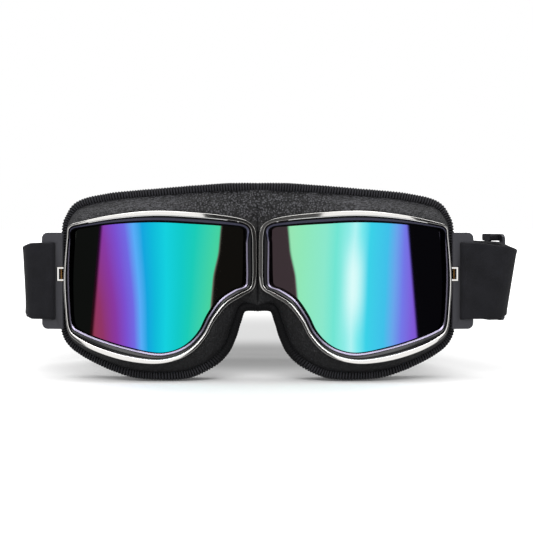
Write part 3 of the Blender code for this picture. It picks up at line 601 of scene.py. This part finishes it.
def mirror_finish(name, stops, lean, fan, painted_streak, nose, temple):
    """Iridescent coating. Its colour changes from the nose outwards.

    stops are (distance from the middle plane in millimetres, colour), at the height of the lens's middle.
    Away from it the bands lean by lean, and by fan for each millimetre outwards. painted_streak is the
    strength of a pale streak painted down the middle, a painted highlight in place of a lamp's reflection.
    nose and temple are (distance, colour) of the plainer stretches at both ends. The one at the nose reaches
    further out below the lens's middle, where the lens is turned more.
    """
    made = Finish(name, Metallic=1.0)
    out = made.out()
    height = made.maths("SUBTRACT", made.axes()[2], LENS_MIDDLE_Z * MM)
    slope = made.maths("MULTIPLY_ADD", out, fan / MM, lean)
    leaning = made.maths("MULTIPLY_ADD", height, slope, out)
    drift = made.maths("SUBTRACT", made.noise(22.0, 1.0), 0.5)
    drifted = made.maths("MULTIPLY_ADD", drift, 0.003, leaning)
    share = made.maths("DIVIDE", drifted, MIRROR_SPAN * MM)
    colour = made.ramp(share, [(u / MIRROR_SPAN, srgb(*levels)) for u, levels in stops])
    # A pale streak painted down the lens's middle: painted highlight standing in for a lamp's reflection.
    centre = made.times(made.range(height, 25 * MM, 2 * MM), made.range(height, -28 * MM, -4 * MM), painted_streak)
    beside = made.maths("ABSOLUTE", made.maths("SUBTRACT", leaning, 43.5 * MM))
    painted_glow = made.times(made.range(beside, 7 * MM, 0.0), centre)
    colour = made.blend(painted_glow, colour, srgb(240, 255, 252))
    rolled = made.maths("MULTIPLY_ADD", height, math.tan(LENS_ROLL), out)
    turned = made.maths("SUBTRACT", rolled, made.range(height, 15 * MM, 1 * MM, 1.95 * MM, 3.45 * MM))
    for where, (place, levels), fade in ((turned, nose, -1.0), (rolled, temple, 1.0)):
        end = made.range(where, place * MM, (place + fade) * MM)
        colour = made.blend(end, colour, srgb(*levels))
    made.set("Base Color", colour)
    made.set("Roughness", made.maths("MULTIPLY_ADD", made.noise(90.0, 3.0), 0.03, 0.02))
    return made.material


def smoke_finish():
    """Uncoated rear of the lens."""
    made = Finish("smoke_lens_back", IOR=1.5)
    haze = made.noise(60.0, 3.0)
    made.set("Base Color", made.blend(haze, srgb(16, 15, 20), srgb(26, 24, 30)))
    made.set("Roughness", made.maths("MULTIPLY_ADD", haze, 0.08, 0.04))
    return made.material


def leather_finish():
    """Soft black leather, pebbled over the brow and smoother elsewhere. Over the brow its grain tops, and to
    its sides streaks, are coloured lighter: painted highlight.
    """
    made = Finish("black_leather", IOR=1.4, Sheen_Weight=0.03, Sheen_Roughness=0.4)
    out = made.out()
    middle = made.range(out, 86 * MM, 30 * MM, 0.45, 1.0)
    brow = made.times(middle, made.range(made.axes()[2], 68 * MM, 76 * MM))
    warp = made.node("TexNoise", {"Vector": made.where, "Scale": 500.0, "Detail": 2.0}).outputs["Color"]
    bending = {0: warp, 1: (0.9 * MM,) * 3, 2: made.where}
    bent = made.node("VectorMath", bending, operation="MULTIPLY_ADD").outputs[0]
    pebbles = made.cells(1050.0, "F1", bent)
    grains = made.maths("SUBTRACT", 1.0, made.maths("MULTIPLY", pebbles, 1.4))
    pores = made.noise(2600.0, 3.0)
    creases = made.cells(260.0, "DISTANCE_TO_EDGE", bent)
    folds = made.range(creases, 0.0, 0.09)
    depth = made.maths("MULTIPLY_ADD", brow, 0.88, 0.12)
    height = made.maths("MULTIPLY_ADD", folds, 0.25, made.times(grains, depth))
    height = made.maths("MULTIPLY_ADD", pores, 0.12, height)
    streaks = made.range(made.noise(1500.0, 4.0, made.stretched((0.4, 1.0, 1.2)), 0.65), 0.42, 0.62)
    # Lighter grain tops in the middle and streaks to the sides, mostly over the brow: painted highlight. The
    # pebble and crease relief is real grain.
    light = made.blend(made.range(out, 26 * MM, 45 * MM), made.range(grains, 0.2, 0.75), streaks)
    dark = made.blend(made.noise(90.0, 3.0), srgb(6, 6, 8), srgb(16, 16, 18))
    made.set("Base Color", made.blend(made.times(light, depth), dark, srgb(72, 72, 76)))
    made.set("Roughness", made.range(grains, 0.0, 1.0, 0.6, 0.34))
    made.set("Normal", made.relief(height, 0.4))
    return made.material


def hem_finish():
    """Thread-covered binding: fibres across it, and rib crests coloured lighter as painted highlight but for
    the arch over the nose.
    """
    made = Finish("rib_thread", IOR=1.22, Sheen_Weight=0.02, Sheen_Roughness=0.5)
    along, across = made.lay()
    lengthwise = made.maths("MULTIPLY", along, 9.0)
    fibres = made.noise(1.0, 3.0, made.node("CombineXYZ", {0: lengthwise, 1: across}).outputs[0])
    edges = made.node("NewGeometry").outputs["Pointiness"]
    # Rib crests, found by their pointiness, are coloured lighter: painted highlight.
    painted_crest_highlight = made.range(edges, 0.5, 0.58)
    base = made.blend(fibres, srgb(2, 2, 3), srgb(9, 9, 11))
    arch = made.times(made.range(made.out(), 26 * MM, 14 * MM), made.range(made.axes()[2], 50 * MM, 44 * MM))
    shown = made.times(painted_crest_highlight, made.maths("MULTIPLY_ADD", arch, -0.9, 1.0))
    made.set("Base Color", made.blend(shown, base, srgb(46, 46, 50)))
    made.set("Roughness", made.maths("MULTIPLY_ADD", fibres, 0.2, 0.6))
    made.set("Normal", made.relief(fibres, 0.12))
    return made.material


def foam_finish():
    """Open-cell foam: lighter cell walls round pores whose darker colour is painted shade in their hollows.
    """
    made = Finish("black_foam", Roughness=0.95, IOR=1.3, Sheen_Weight=0.15, Sheen_Roughness=0.7)
    pores = made.cells(1500.0)
    coarse = made.cells(620.0)
    cells = made.maths("MULTIPLY_ADD", coarse, 0.5, pores)
    # Darker pore colour: painted shade in the cells' hollows.
    made.set("Base Color", made.blend(made.range(cells, 0.2, 0.9), srgb(18, 18, 19), srgb(58, 58, 60)))
    made.set("Normal", made.relief(cells, 0.25))
    return made.material


def velour_finish():
    """Brushed facing that touches the face, with a soft nap."""
    made = Finish("velour_facing", Roughness=1.0, IOR=1.3, Sheen_Weight=0.6, Sheen_Roughness=0.45)
    nap = made.noise(3200.0, 3.0)
    fibre = made.times(nap, made.maths("ADD", made.noise(70.0, 3.0), 0.4))
    made.set("Base Color", made.blend(fibre, srgb(14, 14, 16), srgb(52, 52, 57)))
    made.set("Normal", made.relief(nap, 0.15))
    return made.material


def webbing_finish():
    """Woven elastic: lengthwise ribs crossed by a fine weft."""
    made = Finish("woven_elastic", IOR=1.3, Sheen_Weight=0.05, Sheen_Roughness=0.5)
    along, across = made.lay()
    ribs = made.maths("SINE", made.maths("MULTIPLY", across, TURN / 1.1))
    weft = made.maths("SINE", made.maths("MULTIPLY", along, TURN / 0.7))
    weave = made.maths("MULTIPLY_ADD", made.times(ribs, weft), 0.5, 0.5)
    lint = made.noise(1500.0, 4.0)
    patches = made.range(made.noise(110.0, 5.0), 0.3, 0.7)
    base = made.blend(patches, srgb(2, 2, 4), srgb(15, 15, 19))
    made.set("Base Color", made.blend(made.times(weave, lint), base, srgb(32, 32, 38)))
    made.set("Roughness", made.maths("MULTIPLY_ADD", lint, 0.2, 0.72))
    made.set("Normal", made.relief(made.maths("MULTIPLY_ADD", lint, 0.4, weave), 0.1))
    return made.material


CHROME = chrome_finish("polished_chrome")
RIM_CHROME = {
    1: chrome_finish("rim_chrome_left", lean=-0.12, at_arch=-0.08, at_corner=0.12),
    -1: chrome_finish("rim_chrome_right", lean=0.06, at_arch=0.08),
}
LIP_HIGHLIGHT = lip_highlight_finish()
GLOSS = gloss_finish()
SHADE = shade_finish()
MOULDED = moulded_finish()
STEEL = metal_finish("brushed_steel", srgb(120, 120, 124), srgb(178, 178, 182), 0.2)
BRASS = metal_finish("brass", srgb(126, 88, 48), srgb(190, 150, 92), 0.18, (1.0, 1.0, 3.0))
SMOKE = smoke_finish()
LEATHER = leather_finish()
HEM = hem_finish()
FOAM = foam_finish()
VELOUR = velour_finish()
WEBBING = webbing_finish()
RIGHT_STOPS = (
    (15, (112, 214, 142)),
    (20, (72, 209, 158)),
    (30, (26, 201, 182)),
    (35, (18, 199, 198)),
    (41.5, (20, 206, 220)),
    (47, (15, 184, 216)),
    (51, (20, 164, 220)),
    (54.5, (88, 170, 245)),
    (58, (112, 104, 224)),
    (62, (122, 78, 204)),
    (67, (134, 56, 160)),
    (74, (142, 52, 102)),
    (82, (146, 60, 66)),
    (88, (70, 42, 42)),
)
LEFT_STOPS = (
    (14, (150, 228, 178)),
    (20, (142, 229, 184)),
    (30, (136, 229, 202)),
    (35, (112, 226, 209)),
    (40, (140, 233, 228)),
    (43, (172, 240, 240)),
    # The paler stop at 43 mm is painted highlight too, part of the same streak.
    (46, (120, 230, 234)),
    (50, (58, 207, 229)),
    (58, (64, 190, 231)),
    (62, (104, 163, 233)),
    (66, (114, 118, 229)),
    (71, (126, 90, 214)),
    (82, (110, 60, 150)),
)
RIGHT_MIRROR = mirror_finish(
    "mirror_coat_right",
    RIGHT_STOPS,
    lean=0.25,
    fan=-0.006,
    painted_streak=0.0,
    nose=(17.4, (128, 122, 112)),
    temple=(73.3, (70, 74, 70)),
)
LEFT_MIRROR = mirror_finish(
    "mirror_coat_left",
    LEFT_STOPS,
    lean=-0.03,
    fan=0.0,
    painted_streak=0.6,
    nose=(14.2, (200, 172, 182)),
    temple=(70.4, (84, 80, 96)),
)


# ---------------- lens assembly


def add_rim(zone, side):
    """Chrome band with a nearly flat front and round edges."""
    inner = mix(RIM_LINE, BEZEL_LINE, RIM_SHARE)
    width = np.linalg.norm(inner - RIM_LINE, axis=1)[:, None]
    edge = np.minimum(RIM_EDGE / width, 0.42)
    turns = np.linspace(0, math.pi / 2, 6)
    round_edge = [(edge * (1 - math.cos(t)), 0.6 - 0.32 * math.sin(t)) for t in turns]
    profile = [(0.0, RIM_DEPTH), (0.0, 2.5), *round_edge, (0.5, 0.25)]
    profile += [(1 - share, depth) for share, depth in round_edge[::-1]]
    profile += [(1.0, 2.5), (1.0, RIM_DEPTH)]
    lines = [on_lens(mix(RIM_LINE, inner, share), depth) for share, depth in profile]
    rim = ring(zone + "_chrome_rim", side, lines)
    even_shading(rim)
    dress(rim, "chrome", RIM_CHROME[side])
    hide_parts(zone + "_rim")
    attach(rim, zone + "_eyecup")


def add_bezel(zone, side):
    """Gloss ring with a rounded shoulder beside the rim, and a lip coloured light as painted highlight.

    The lip lies beside the lens, but along the top it is wider, a painted sheen band, and has a black slope
    below it.
    """
    outer = inset(mix(RIM_LINE, BEZEL_LINE, RIM_SHARE), RIM_CLEARANCE)
    width = np.linalg.norm(BEZEL_LINE - outer, axis=1)[:, None]
    top = np.clip((BEZEL_LINE[:, 1:] - 63.0) / 4.0, 0, 1)
    lip = mix(1 - np.clip(0.85 / width, 0.1, 0.45), 0.3, top)
    lip_end = mix(0.96, 0.66, top)
    shoulder = ((0.0, 1.75), (0.06, 1.3), (0.14, 1.05), (0.26, 0.98))
    slope = ((0.4, 1.03), (0.55, 1.15), (0.75, 1.3), (0.9, 1.45))
    profile = [(0.0, BEZEL_BACK_D)]
    profile += [(share * lip, depth) for share, depth in shoulder + slope]
    profile += [(lip, 1.6), (mix(lip, lip_end, 0.5), 1.75), (lip_end, 1.95), (1.0, 2.6), (1.0, 5.3)]
    lines = [on_lens(mix(outer, BEZEL_LINE, share), depth) for share, depth in profile]
    # Faces in the cut zone carry the lip's painted highlight.
    gloss, cut, wall = range(3)
    zones = [gloss] * 9 + [cut] * 2 + [wall] * 2 + [gloss]
    bezel = ring(zone + "_gloss_bezel", side, lines, zones)
    dress(bezel, "gloss_black", GLOSS, LIP_HIGHLIGHT, SHADE)
    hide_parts(zone + "_bezel")
    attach(bezel, zone + "_eyecup")


def add_lens(zone, side, mirror):
    """Mirror lens as upright columns of points, front then back, cut to the lens outline.

    Beside the nose it turns a little further towards the middle plane, and most below its middle.
    """
    outline = mix(RIM_LINE, BEZEL_LINE, LENS_EDGE_SHARE)
    first, last = np.argmin(outline[:, 0]), np.argmax(outline[:, 0])
    turned = np.roll(outline, -last, axis=0)  # from the outermost point over the top to the nose and back
    split = (first - last) % len(outline)
    top, bottom = turned[: split + 1][::-1], turned[split:]
    low_u, high_u = outline[first, 0] + 0.02, outline[last, 0] - 0.02
    columns = low_u + (high_u - low_u) * (0.5 - 0.5 * np.cos(np.linspace(0, math.pi, 150)))
    high_z = np.interp(columns, np.maximum.accumulate(top[:, 0]), top[:, 1])
    low_z = np.interp(columns, np.maximum.accumulate(bottom[:, 0]), bottom[:, 1])
    rows = np.linspace(0, 1, 40)
    z = low_z[:, None] + (high_z - low_z)[:, None] * rows
    u = np.repeat(columns[:, None], len(rows), axis=1)
    rolled = u + (z - LENS_MIDDLE_Z) * math.tan(LENS_ROLL)
    twist = 0.015 + 0.0115 * rise(z, 60.0, 46.0)
    turned_in = twist * (u - 18.0) * rise(u, 48.0, 24.0)
    front = np.stack((u, lens_y(rolled) + LENS_FRONT_D + LENS_SET_BACK - turned_in, z), axis=2)
    back = front[:, ::-1] + (0.0, LENS_THICK, 0.0)
    grid = to_frame(np.concatenate((front, back), axis=1), side)
    zones = [0] * (len(rows) - 1) + [1] * (len(rows) + 1)
    lens = grid_object(zone + "_mirror_lens", grid, False, True, zones)
    dress(lens, "mirror_lens", mirror, SMOKE)
    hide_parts(zone + "_lens")
    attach(lens, zone + "_eyecup")


def add_frame(zone, side):
    """Eyecup frame with its four long edges cut off."""
    outer, inner = inset(RIM_LINE, FRAME_OUTER_INSET), inset(RIM_LINE, FRAME_INNER_INSET)
    corners = ((0, FRAME_BACK_D), (0, FRAME_FRONT_D), (1, FRAME_FRONT_D), (1, FRAME_BACK_D))
    edge = 0.12
    profile = []
    for k, (share, depth) in enumerate(corners):
        for other in (corners[k - 1], corners[(k + 1) % 4]):
            profile.append((mix(share, other[0], edge), mix(depth, other[1], edge)))
    lines = [on_lens(mix(outer, inner, share), depth) for share, depth in profile]
    piece = ring(zone + "_eyecup_frame", side, lines)
    dress(piece, "matte_black", MOULDED)
    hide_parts(zone + "_frame")
    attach(piece, zone + "_eyecup")


# ---------------- leather, hem and padding


def add_cover(zone, side):
    """Half of the leather cover, from under the rim out to the hem, meeting the other half in the middle."""
    flange, seat = inset(RIM_LINE, 0.8), inset(RIM_LINE, 0.3)
    top, bottom = BRIDGE_TOP[1] - COVER_INSET, BRIDGE_BOTTOM[1] + COVER_INSET
    edge = edge_inset(COVER_INSET, 0.0, seam_ends=(top, bottom))
    edge[:, 0] = np.maximum(edge[:, 0], 0.0)
    seam = np.clip(1 - edge[:, 0] / 5.0, 0, 1)
    shares = np.linspace(0, 1, 22)
    start = on_lens(seat, COVER_D)
    end = on_lens(edge, EDGE_DEPTH + 1.2)
    length = np.linalg.norm(end - start, axis=1)
    crown = np.minimum(length * 0.17, 1.9)
    lines = [on_lens(flange, COVER_D + 0.05)]
    joined = seam * rise(edge[:, 1], top, BRIDGE_TOP[1] - 8.0)
    for share in shares:
        line = mix(start, end, share)
        arch = (1 - joined) * math.sin(math.pi * share) ** 0.8 + joined * math.sin(math.pi / 2 * share)
        line[:, 1] -= crown * arch
        lines.append(line)
    front = np.stack(lines, axis=1)
    x = front[:, :, 0]
    # Rounds the crease that the two lens curves make in the middle.
    front[:, :, 1] -= 0.358 * (np.sqrt(x * x + 9.0) - x)
    across = np.concatenate(([0.0], shares))[None, :]
    seam = seam[:, None]
    fade = (1 - seam) * np.sin(math.pi * across) ** 0.7 + seam * np.sin(math.pi / 2 * across)
    brow = np.clip((front[:, :, 2] - 72.0) / 6.0, 0, 1)
    pucker = noise_at(front, (10.0, 30.0, 1.6)) * (0.15 + (0.35 + 0.35 * bump(x, 24.0, 22.0)) * brow)
    pucker += noise_at(front + 40.0, (2.2, 30.0, 5.0)) * 0.22
    pucker += noise_at(front + 80.0, (0.9, 0.9, 0.9)) * 0.12 * brow * bump(x, 0.0, 60.0)
    front[:, :, 1] -= fade * pucker * np.minimum(1.0, length / 5.0)[:, None]
    back = front[:, ::-1] + (0.0, COVER_THICK, 0.0)
    grid = to_frame(np.concatenate((front, back), axis=1), side)
    cover = grid_object(zone + "_leather_cover", grid, True, True)
    dress(cover, "leather", LEATHER)
    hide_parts(zone + "_cover", "bridge_cover")
    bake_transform(cover)


def add_hem(zone, side):
    """Half of the bound edge: a tube with close thread ribs that wind round it, fainter over the nose."""
    half = smooth(half_edge_inset(HEM_RADIUS), 16, closed=False)
    line = evenly(on_lens(half[:, :2], half[:, 2]), HEM_SPACING)
    run = np.arange(len(line)) * HEM_SPACING
    uneven = noise_at(line, (5.0, 5.0, 5.0))
    ways = np.linspace(0, 1, 16, endpoint=False)
    phase = (run / HEM_PITCH + 0.35 * uneven)[:, None] + 0.8 * ways[None, :]
    ribs = np.abs(np.sin(math.pi * phase)) ** 0.6
    plain = np.clip((22.0 - line[:, 0]) / 8.0, 0, 1) * np.clip((48.0 - line[:, 2]) / 6.0, 0, 1)
    depth = HEM_RIB * (1 - 0.8 * plain)[:, None]
    radii = HEM_RADIUS * (0.98 - depth + depth * ribs + 0.05 * uneven[:, None])
    hem = tube(zone + "_bound_hem", side, line, radii)
    dress(hem, "thread", HEM)
    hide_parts(zone + "_hem", "bridge_hem_top", "bridge_hem_bottom")
    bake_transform(hem)


def add_foam(zone, side):
    """Foam ring with rounded shoulders, pressed flat where it stands."""
    outer = edge_inset(FOAM_INSET, 3.0)
    middle = edge_inset(5.0, 9.0, 0.5)
    inner = edge_inset(FOAM_WIDTH, 15.5, 1.0)
    outer[:, 0] = np.maximum(outer[:, 0], EYECUP_EDGE_U)
    middle[:, 0] = np.maximum(middle[:, 0], EYECUP_EDGE_U + 2)
    front = np.maximum(EDGE_DEPTH + HEM_RADIUS, FOAM_LEAST_D) + GAP
    outer[:, 1] = np.maximum(0.0, outer[:, 1] - FOOT_DROP * np.clip(1 - outer[:, 1] / FOOT_RISE, 0, None))
    corners = (
        on_lens(outer, front),
        before_face(outer, FACING_THICK + GAP),
        before_face(inner, FACING_THICK + GAP),
        on_lens(inner, FOAM_FRONT_D),
        on_lens(middle, front),
    )
    lines = rounded_loop(np.stack(corners), 3)
    foam = ring(zone + "_foam_ring", side, list(lines))
    dress(foam, "foam", FOAM)
    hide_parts(zone + "_foam")
    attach(foam, zone + "_eyecup")


def add_facing(zone, side):
    """Soft facing over the foam's rear, with rolled edges."""
    outer = edge_inset(FOAM_INSET + 1.4, 3.0)
    inner = edge_inset(FOAM_WIDTH - 0.4, 15.0, 0.95)
    outer[:, 0] = np.maximum(outer[:, 0], EYECUP_EDGE_U + 0.3)
    lines = []
    shares = np.linspace(0, 1, 12)
    for share in shares:
        swell = 0.9 * math.sin(math.pi * share) ** 0.6
        lines.append(before_face(mix(outer, inner, share), 0.9 - swell))
    for share in shares[::-1]:
        lines.append(before_face(mix(outer, inner, 0.02 + 0.96 * share), FACING_THICK + 0.25))
    facing = ring(zone + "_velour_facing", side, lines)
    dress(facing, "velour", VELOUR)
    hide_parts(zone + "_facing")
    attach(facing, zone + "_eyecup")


def add_nose_pad(zone, side):
    """Half of the foam that fills the bridge."""
    low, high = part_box("nose_pad")
    half = high.x / MM
    front_y, back_y = (low.y - FRONT_Y) / MM, (high.y - FRONT_Y) / MM
    low_z, high_z = low.z / MM, high.z / MM
    levels = np.linspace(0, 1, 40)
    z = low_z + (high_z - low_z) * levels
    taper = half * (0.62 + 0.38 * np.clip(levels / 0.12, 0, 1))
    ends = np.clip(np.minimum(levels, 1 - levels) / 0.05, 0.0, 1.0)
    shrink = 0.75 + 0.25 * np.sqrt(1 - (1 - ends) ** 2)
    middle_y, reach = (front_y + back_y) / 2, (back_y - front_y) / 2
    turn = [(0.02, 1.0), (0.5, 1.0), (0.85, 0.92), (0.98, 0.6)]
    shape = [(a, -b) for a, b in turn] + [(1.0, 0.0)] + turn[::-1]
    least = 0.15
    rows = []
    for height, wide, pull in zip(z, (taper - least) * shrink, reach * shrink):
        rows.append([(least + wide * a, middle_y + pull * b, height) for a, b in shape])
    pad = grid_object(zone + "_nose_pad", to_frame(np.array(rows), side), False, True)
    dress(pad, "foam", FOAM)
    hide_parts("nose_pad")
    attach(pad, "bridge")
    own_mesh(pad)


# ---------------- strap


def wing_point(side, along, across):
    """(x, y) at a distance along the wing from its pin, and across it towards the back."""
    reach = along * math.cos(WING_TURN) - across * math.sin(WING_TURN)
    y = lens_y(LENS_MIDDLE_U * 2) + WING_D
    return side * (WING_AXIS_U + reach), y + along * math.sin(WING_TURN) + across * math.cos(WING_TURN)


def fold_route(side):
    """The strap's turn through the wing's slot, from the wing's rear to its front."""
    middle = SLOT_FAR - GAP - STRAP_THICK / 2 - 0.25
    far = STRAP_FOLD_HALF
    rear = [(9.3, far), (6.5, far), (middle + 0.9, far), (middle + 0.2, far - 0.4)]
    turn = [(middle, far - 1.2), (middle, 1.2 - far)]
    front = [(middle + 0.2, 0.4 - far), (middle + 0.9, -far), (6.5, -far), (9.3, -far)]
    return [wing_point(side, *place) for place in rear + turn + front]


RIGHT_TAIL_ROUTE = [(-102.6, 15.6), (-101.2, 13.8)]
RIGHT_SIDE_ROUTE = [(-103.9, 12.4), (-106.0, 17.5), (-107.2, 32.0)]
RIGHT_BACK_ROUTE = [RIGHT_SIDE_ROUTE[-1], (-109.4, 52.0), (-111.4, 72.0), (-110.6, 92.0), (-103.5, 111.0)]
RIGHT_BACK_ROUTE += [(-88.0, 127.0), (-66.0, 138.0), (-36.0, 144.5), (0.0, 146.2)]
LEFT_SIDE_ROUTE = [(109.5, 11.8), (115.2, 16.0), (115.0, 23.5)]
LEFT_BACK_ROUTE = [LEFT_SIDE_ROUTE[-1], (109.4, 40.6), (103.5, 58.8), (97.6, 77.0), (88.0, 101.0)]
LEFT_BACK_ROUTE += [(72.0, 124.0), (44.0, 140.5), (0.0, 146.2)]
LEFT_RETURN_START = [(111.5, 20.5), (111.4, 17.4), (107.4, 15.2)]
LEFT_RETURN_ROUTE = [LEFT_RETURN_START[0], (110.9, 25.0), (109.2, 30.0), (107.2, 35.5), (106.0, 39.6)]


def strap_piece(name, route, nodes):
    """A length of strap."""
    piece = band(name, route)
    dress(piece, "webbing", WEBBING)
    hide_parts(*nodes)
    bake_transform(piece)


def add_strap():
    strap_piece(
        "right_strap_front",
        RIGHT_TAIL_ROUTE + fold_route(-1) + RIGHT_SIDE_ROUTE,
        ["right_strap_end", "right_strap_side"],
    )
    strap_piece(
        "right_strap_rear",
        RIGHT_BACK_ROUTE,
        ["right_strap_side", "strap_back"],
    )
    strap_piece(
        "left_strap_front",
        LEFT_RETURN_START + fold_route(1) + LEFT_SIDE_ROUTE,
        ["left_strap_end", "left_strap_side"],
    )
    strap_piece(
        "left_strap_rear",
        LEFT_BACK_ROUTE,
        ["left_strap_side", "strap_back"],
    )
    strap_piece(
        "left_strap_return",
        LEFT_RETURN_ROUTE,
        ["left_strap_return"],
    )


# ---------------- CAD pieces that stay


def keep_node(name, finish, edge=0.0):
    """A CAD piece that keeps its mesh, with a finish and, where asked, softened edges."""
    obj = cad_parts[name]
    obj.data.materials.clear()
    obj.data.materials.append(finish)
    obj.data.shade_smooth()
    obj.data.set_sharp_from_angle(angle=math.radians(35))
    if edge:
        softened = obj.modifiers.new("soft_edges", "BEVEL")
        softened.width = edge * MM
        softened.segments = 3
        softened.limit_method = "ANGLE"
        softened.angle_limit = math.radians(40)
        softened.harden_normals = True


def finish_kept_nodes():
    for zone, _ in SIDES:
        keep_node(zone + "_clip", CHROME, 0.15)
        keep_node(zone + "_wing_pin", BRASS)
        keep_node(zone + "_wing", MOULDED, 0.4)
        keep_node(zone + "_hinge_leaf", STEEL, 0.12)
        keep_node(zone + "_bridge_pin", STEEL, 0.12)
        for end in ("lower", "upper"):
            keep_node(f"{zone}_hinge_screw_{end}", STEEL, 0.2)
    keep_node("bridge_link", STEEL, 0.12)
    keep_node("adjuster_frame", MOULDED, 0.7)


# ---------------- studio

AIM = Vector((0.004, -0.066, 0.052))
DISTANCE = 0.9
ELEVATION = math.radians(2.0)
FOCAL_MM = 134.4


def add_camera():
    data = bpy.data.cameras.new("camera")
    data.lens = FOCAL_MM
    data.sensor_width = 36.0
    data.clip_start = 0.01
    camera = bpy.data.objects.new("camera", data)
    camera.location = AIM + Vector((0, -math.cos(ELEVATION), math.sin(ELEVATION))) * DISTANCE
    camera.rotation_euler = (math.pi / 2 - ELEVATION, 0, 0)
    bpy.context.scene.collection.objects.link(camera)
    bpy.context.scene.camera = camera


def add_light(name, place, towards, size, power):
    data = bpy.data.lights.new(name, "AREA")
    data.shape = "RECTANGLE"
    data.size, data.size_y = size
    data.energy = power
    light = bpy.data.objects.new(name, data)
    light.location = place
    light.rotation_euler = (Vector(towards) - Vector(place)).to_track_quat("-Z", "Y").to_euler()
    bpy.context.scene.collection.objects.link(light)


def add_floor():
    """White floor with a painted shadow, greyer behind the goggles. Its emission is painted light: weak under
    them and rising away from them, which lifts their shadows and turns the far floor white.
    """
    bpy.ops.mesh.primitive_plane_add(size=8.0, location=(0, 0, -0.0002))
    floor = bpy.context.object
    floor.name = "floor"
    made = Finish("studio_floor", Roughness=0.9, Specular_IOR_Level=0.0)
    y = made.axes()[1]
    # A grey patch behind the goggles: painted shadow.
    behind = made.times(made.range(y, -0.04, 0.03), made.range(y, 0.6, 0.3))
    shade = made.times(made.range(made.out(), 0.12, 0.04), behind)
    made.set("Base Color", made.blend(shade, (0.9, 0.9, 0.9, 1.0), (0.42, 0.42, 0.42, 1.0)))
    # Emission weak under the goggles and rising away from them: painted light that fills their shadows at the
    # sides.
    away = made.node("VectorMath", {0: made.stretched((1.0, 0.45, 1.0))}, operation="LENGTH").outputs["Value"]
    made.set("Emission Color", (1.0, 1.0, 1.0, 1.0))
    painted_glow = made.maths("ADD", made.range(away, 0.15, 0.4, 0.0, 0.7), made.range(away, 0.055, 0.1, 0.08, 0.36))
    made.set("Emission Strength", painted_glow)
    floor.data.materials.append(made.material)
    floor.visible_glossy = False


def add_world():
    """White to the camera. To all else it is a studio: a bright panel in front, dark gaps, panels beside.

    Its parts are set out by azimuth, in radians from straight ahead of the goggles, and by the direction's Z.
    """
    world = bpy.data.worlds.new("studio")
    bpy.context.scene.world = world
    world.use_nodes = True
    world.node_tree.nodes.clear()
    made = Nodes(world.node_tree)
    node, maths, times, step = made.node, made.maths, made.times, made.range
    direction = node("SeparateXYZ", {0: node("TexCoord").outputs["Generated"]}).outputs
    azimuth = maths("ARCTAN2", direction["X"], maths("MULTIPLY", direction["Y"], -1.0))
    aside = maths("ABSOLUTE", azimuth)
    height = direction["Z"]
    front = times(step(azimuth, -0.49, -0.465), step(azimuth, 0.44, 0.415))
    gap = times(maths("ADD", times(step(azimuth, -0.45, -0.5), 0.05), 0.025), step(aside, 1.15, 1.0))
    sides = times(step(aside, 1.0, 1.15), step(aside, 2.5, 2.2))
    rear = step(aside, 2.6, 2.9)
    between = times(step(height, -0.35, -0.2), step(height, 0.75, 0.55))
    walls = maths("ADD", maths("ADD", front, gap), maths("ADD", times(sides, 0.6), times(rear, 0.35)))
    path = node("LightPath").outputs
    lamps = maths("MULTIPLY", path["Is Diffuse Ray"], -1.5)
    overhead = times(step(height, 0.66, 0.76), maths("ADD", lamps, 2.3))
    below = times(step(height, -0.2, -0.4), 0.4)
    light = maths("ADD", maths("ADD", times(walls, between), overhead), below)
    light = maths("MAXIMUM", light, 0.009)
    light = maths("MULTIPLY", light, maths("ADD", maths("MULTIPLY", path["Is Diffuse Ray"], 0.2), 1.0))
    studio = node("Background", {"Color": node("CombineColor", {0: light, 1: light, 2: light}).outputs[0]})
    white = node("Background", {"Color": (1, 1, 1, 1), "Strength": 1.0})
    mixed = node("MixShader", {0: path["Is Camera Ray"], 1: studio.outputs[0], 2: white.outputs[0]})
    output = node("OutputWorld", {"Surface": mixed.outputs[0]})
    output.is_active_output = True


def add_studio():
    add_camera()
    add_floor()
    add_world()
    add_light("front_softbox", (0.0, -0.9, 0.55), (0, 0.0, 0.03), (0.6, 0.4), 4.6)
    bpy.context.scene.view_settings.view_transform = "Standard"


for zone, side in SIDES:
    add_rim(zone, side)
    add_bezel(zone, side)
    add_lens(zone, side, LEFT_MIRROR if side > 0 else RIGHT_MIRROR)
    add_frame(zone, side)
    add_cover(zone, side)
    add_hem(zone, side)
    add_foam(zone, side)
    add_facing(zone, side)
    add_nose_pad(zone, side)
add_strap()
finish_kept_nodes()
add_studio()
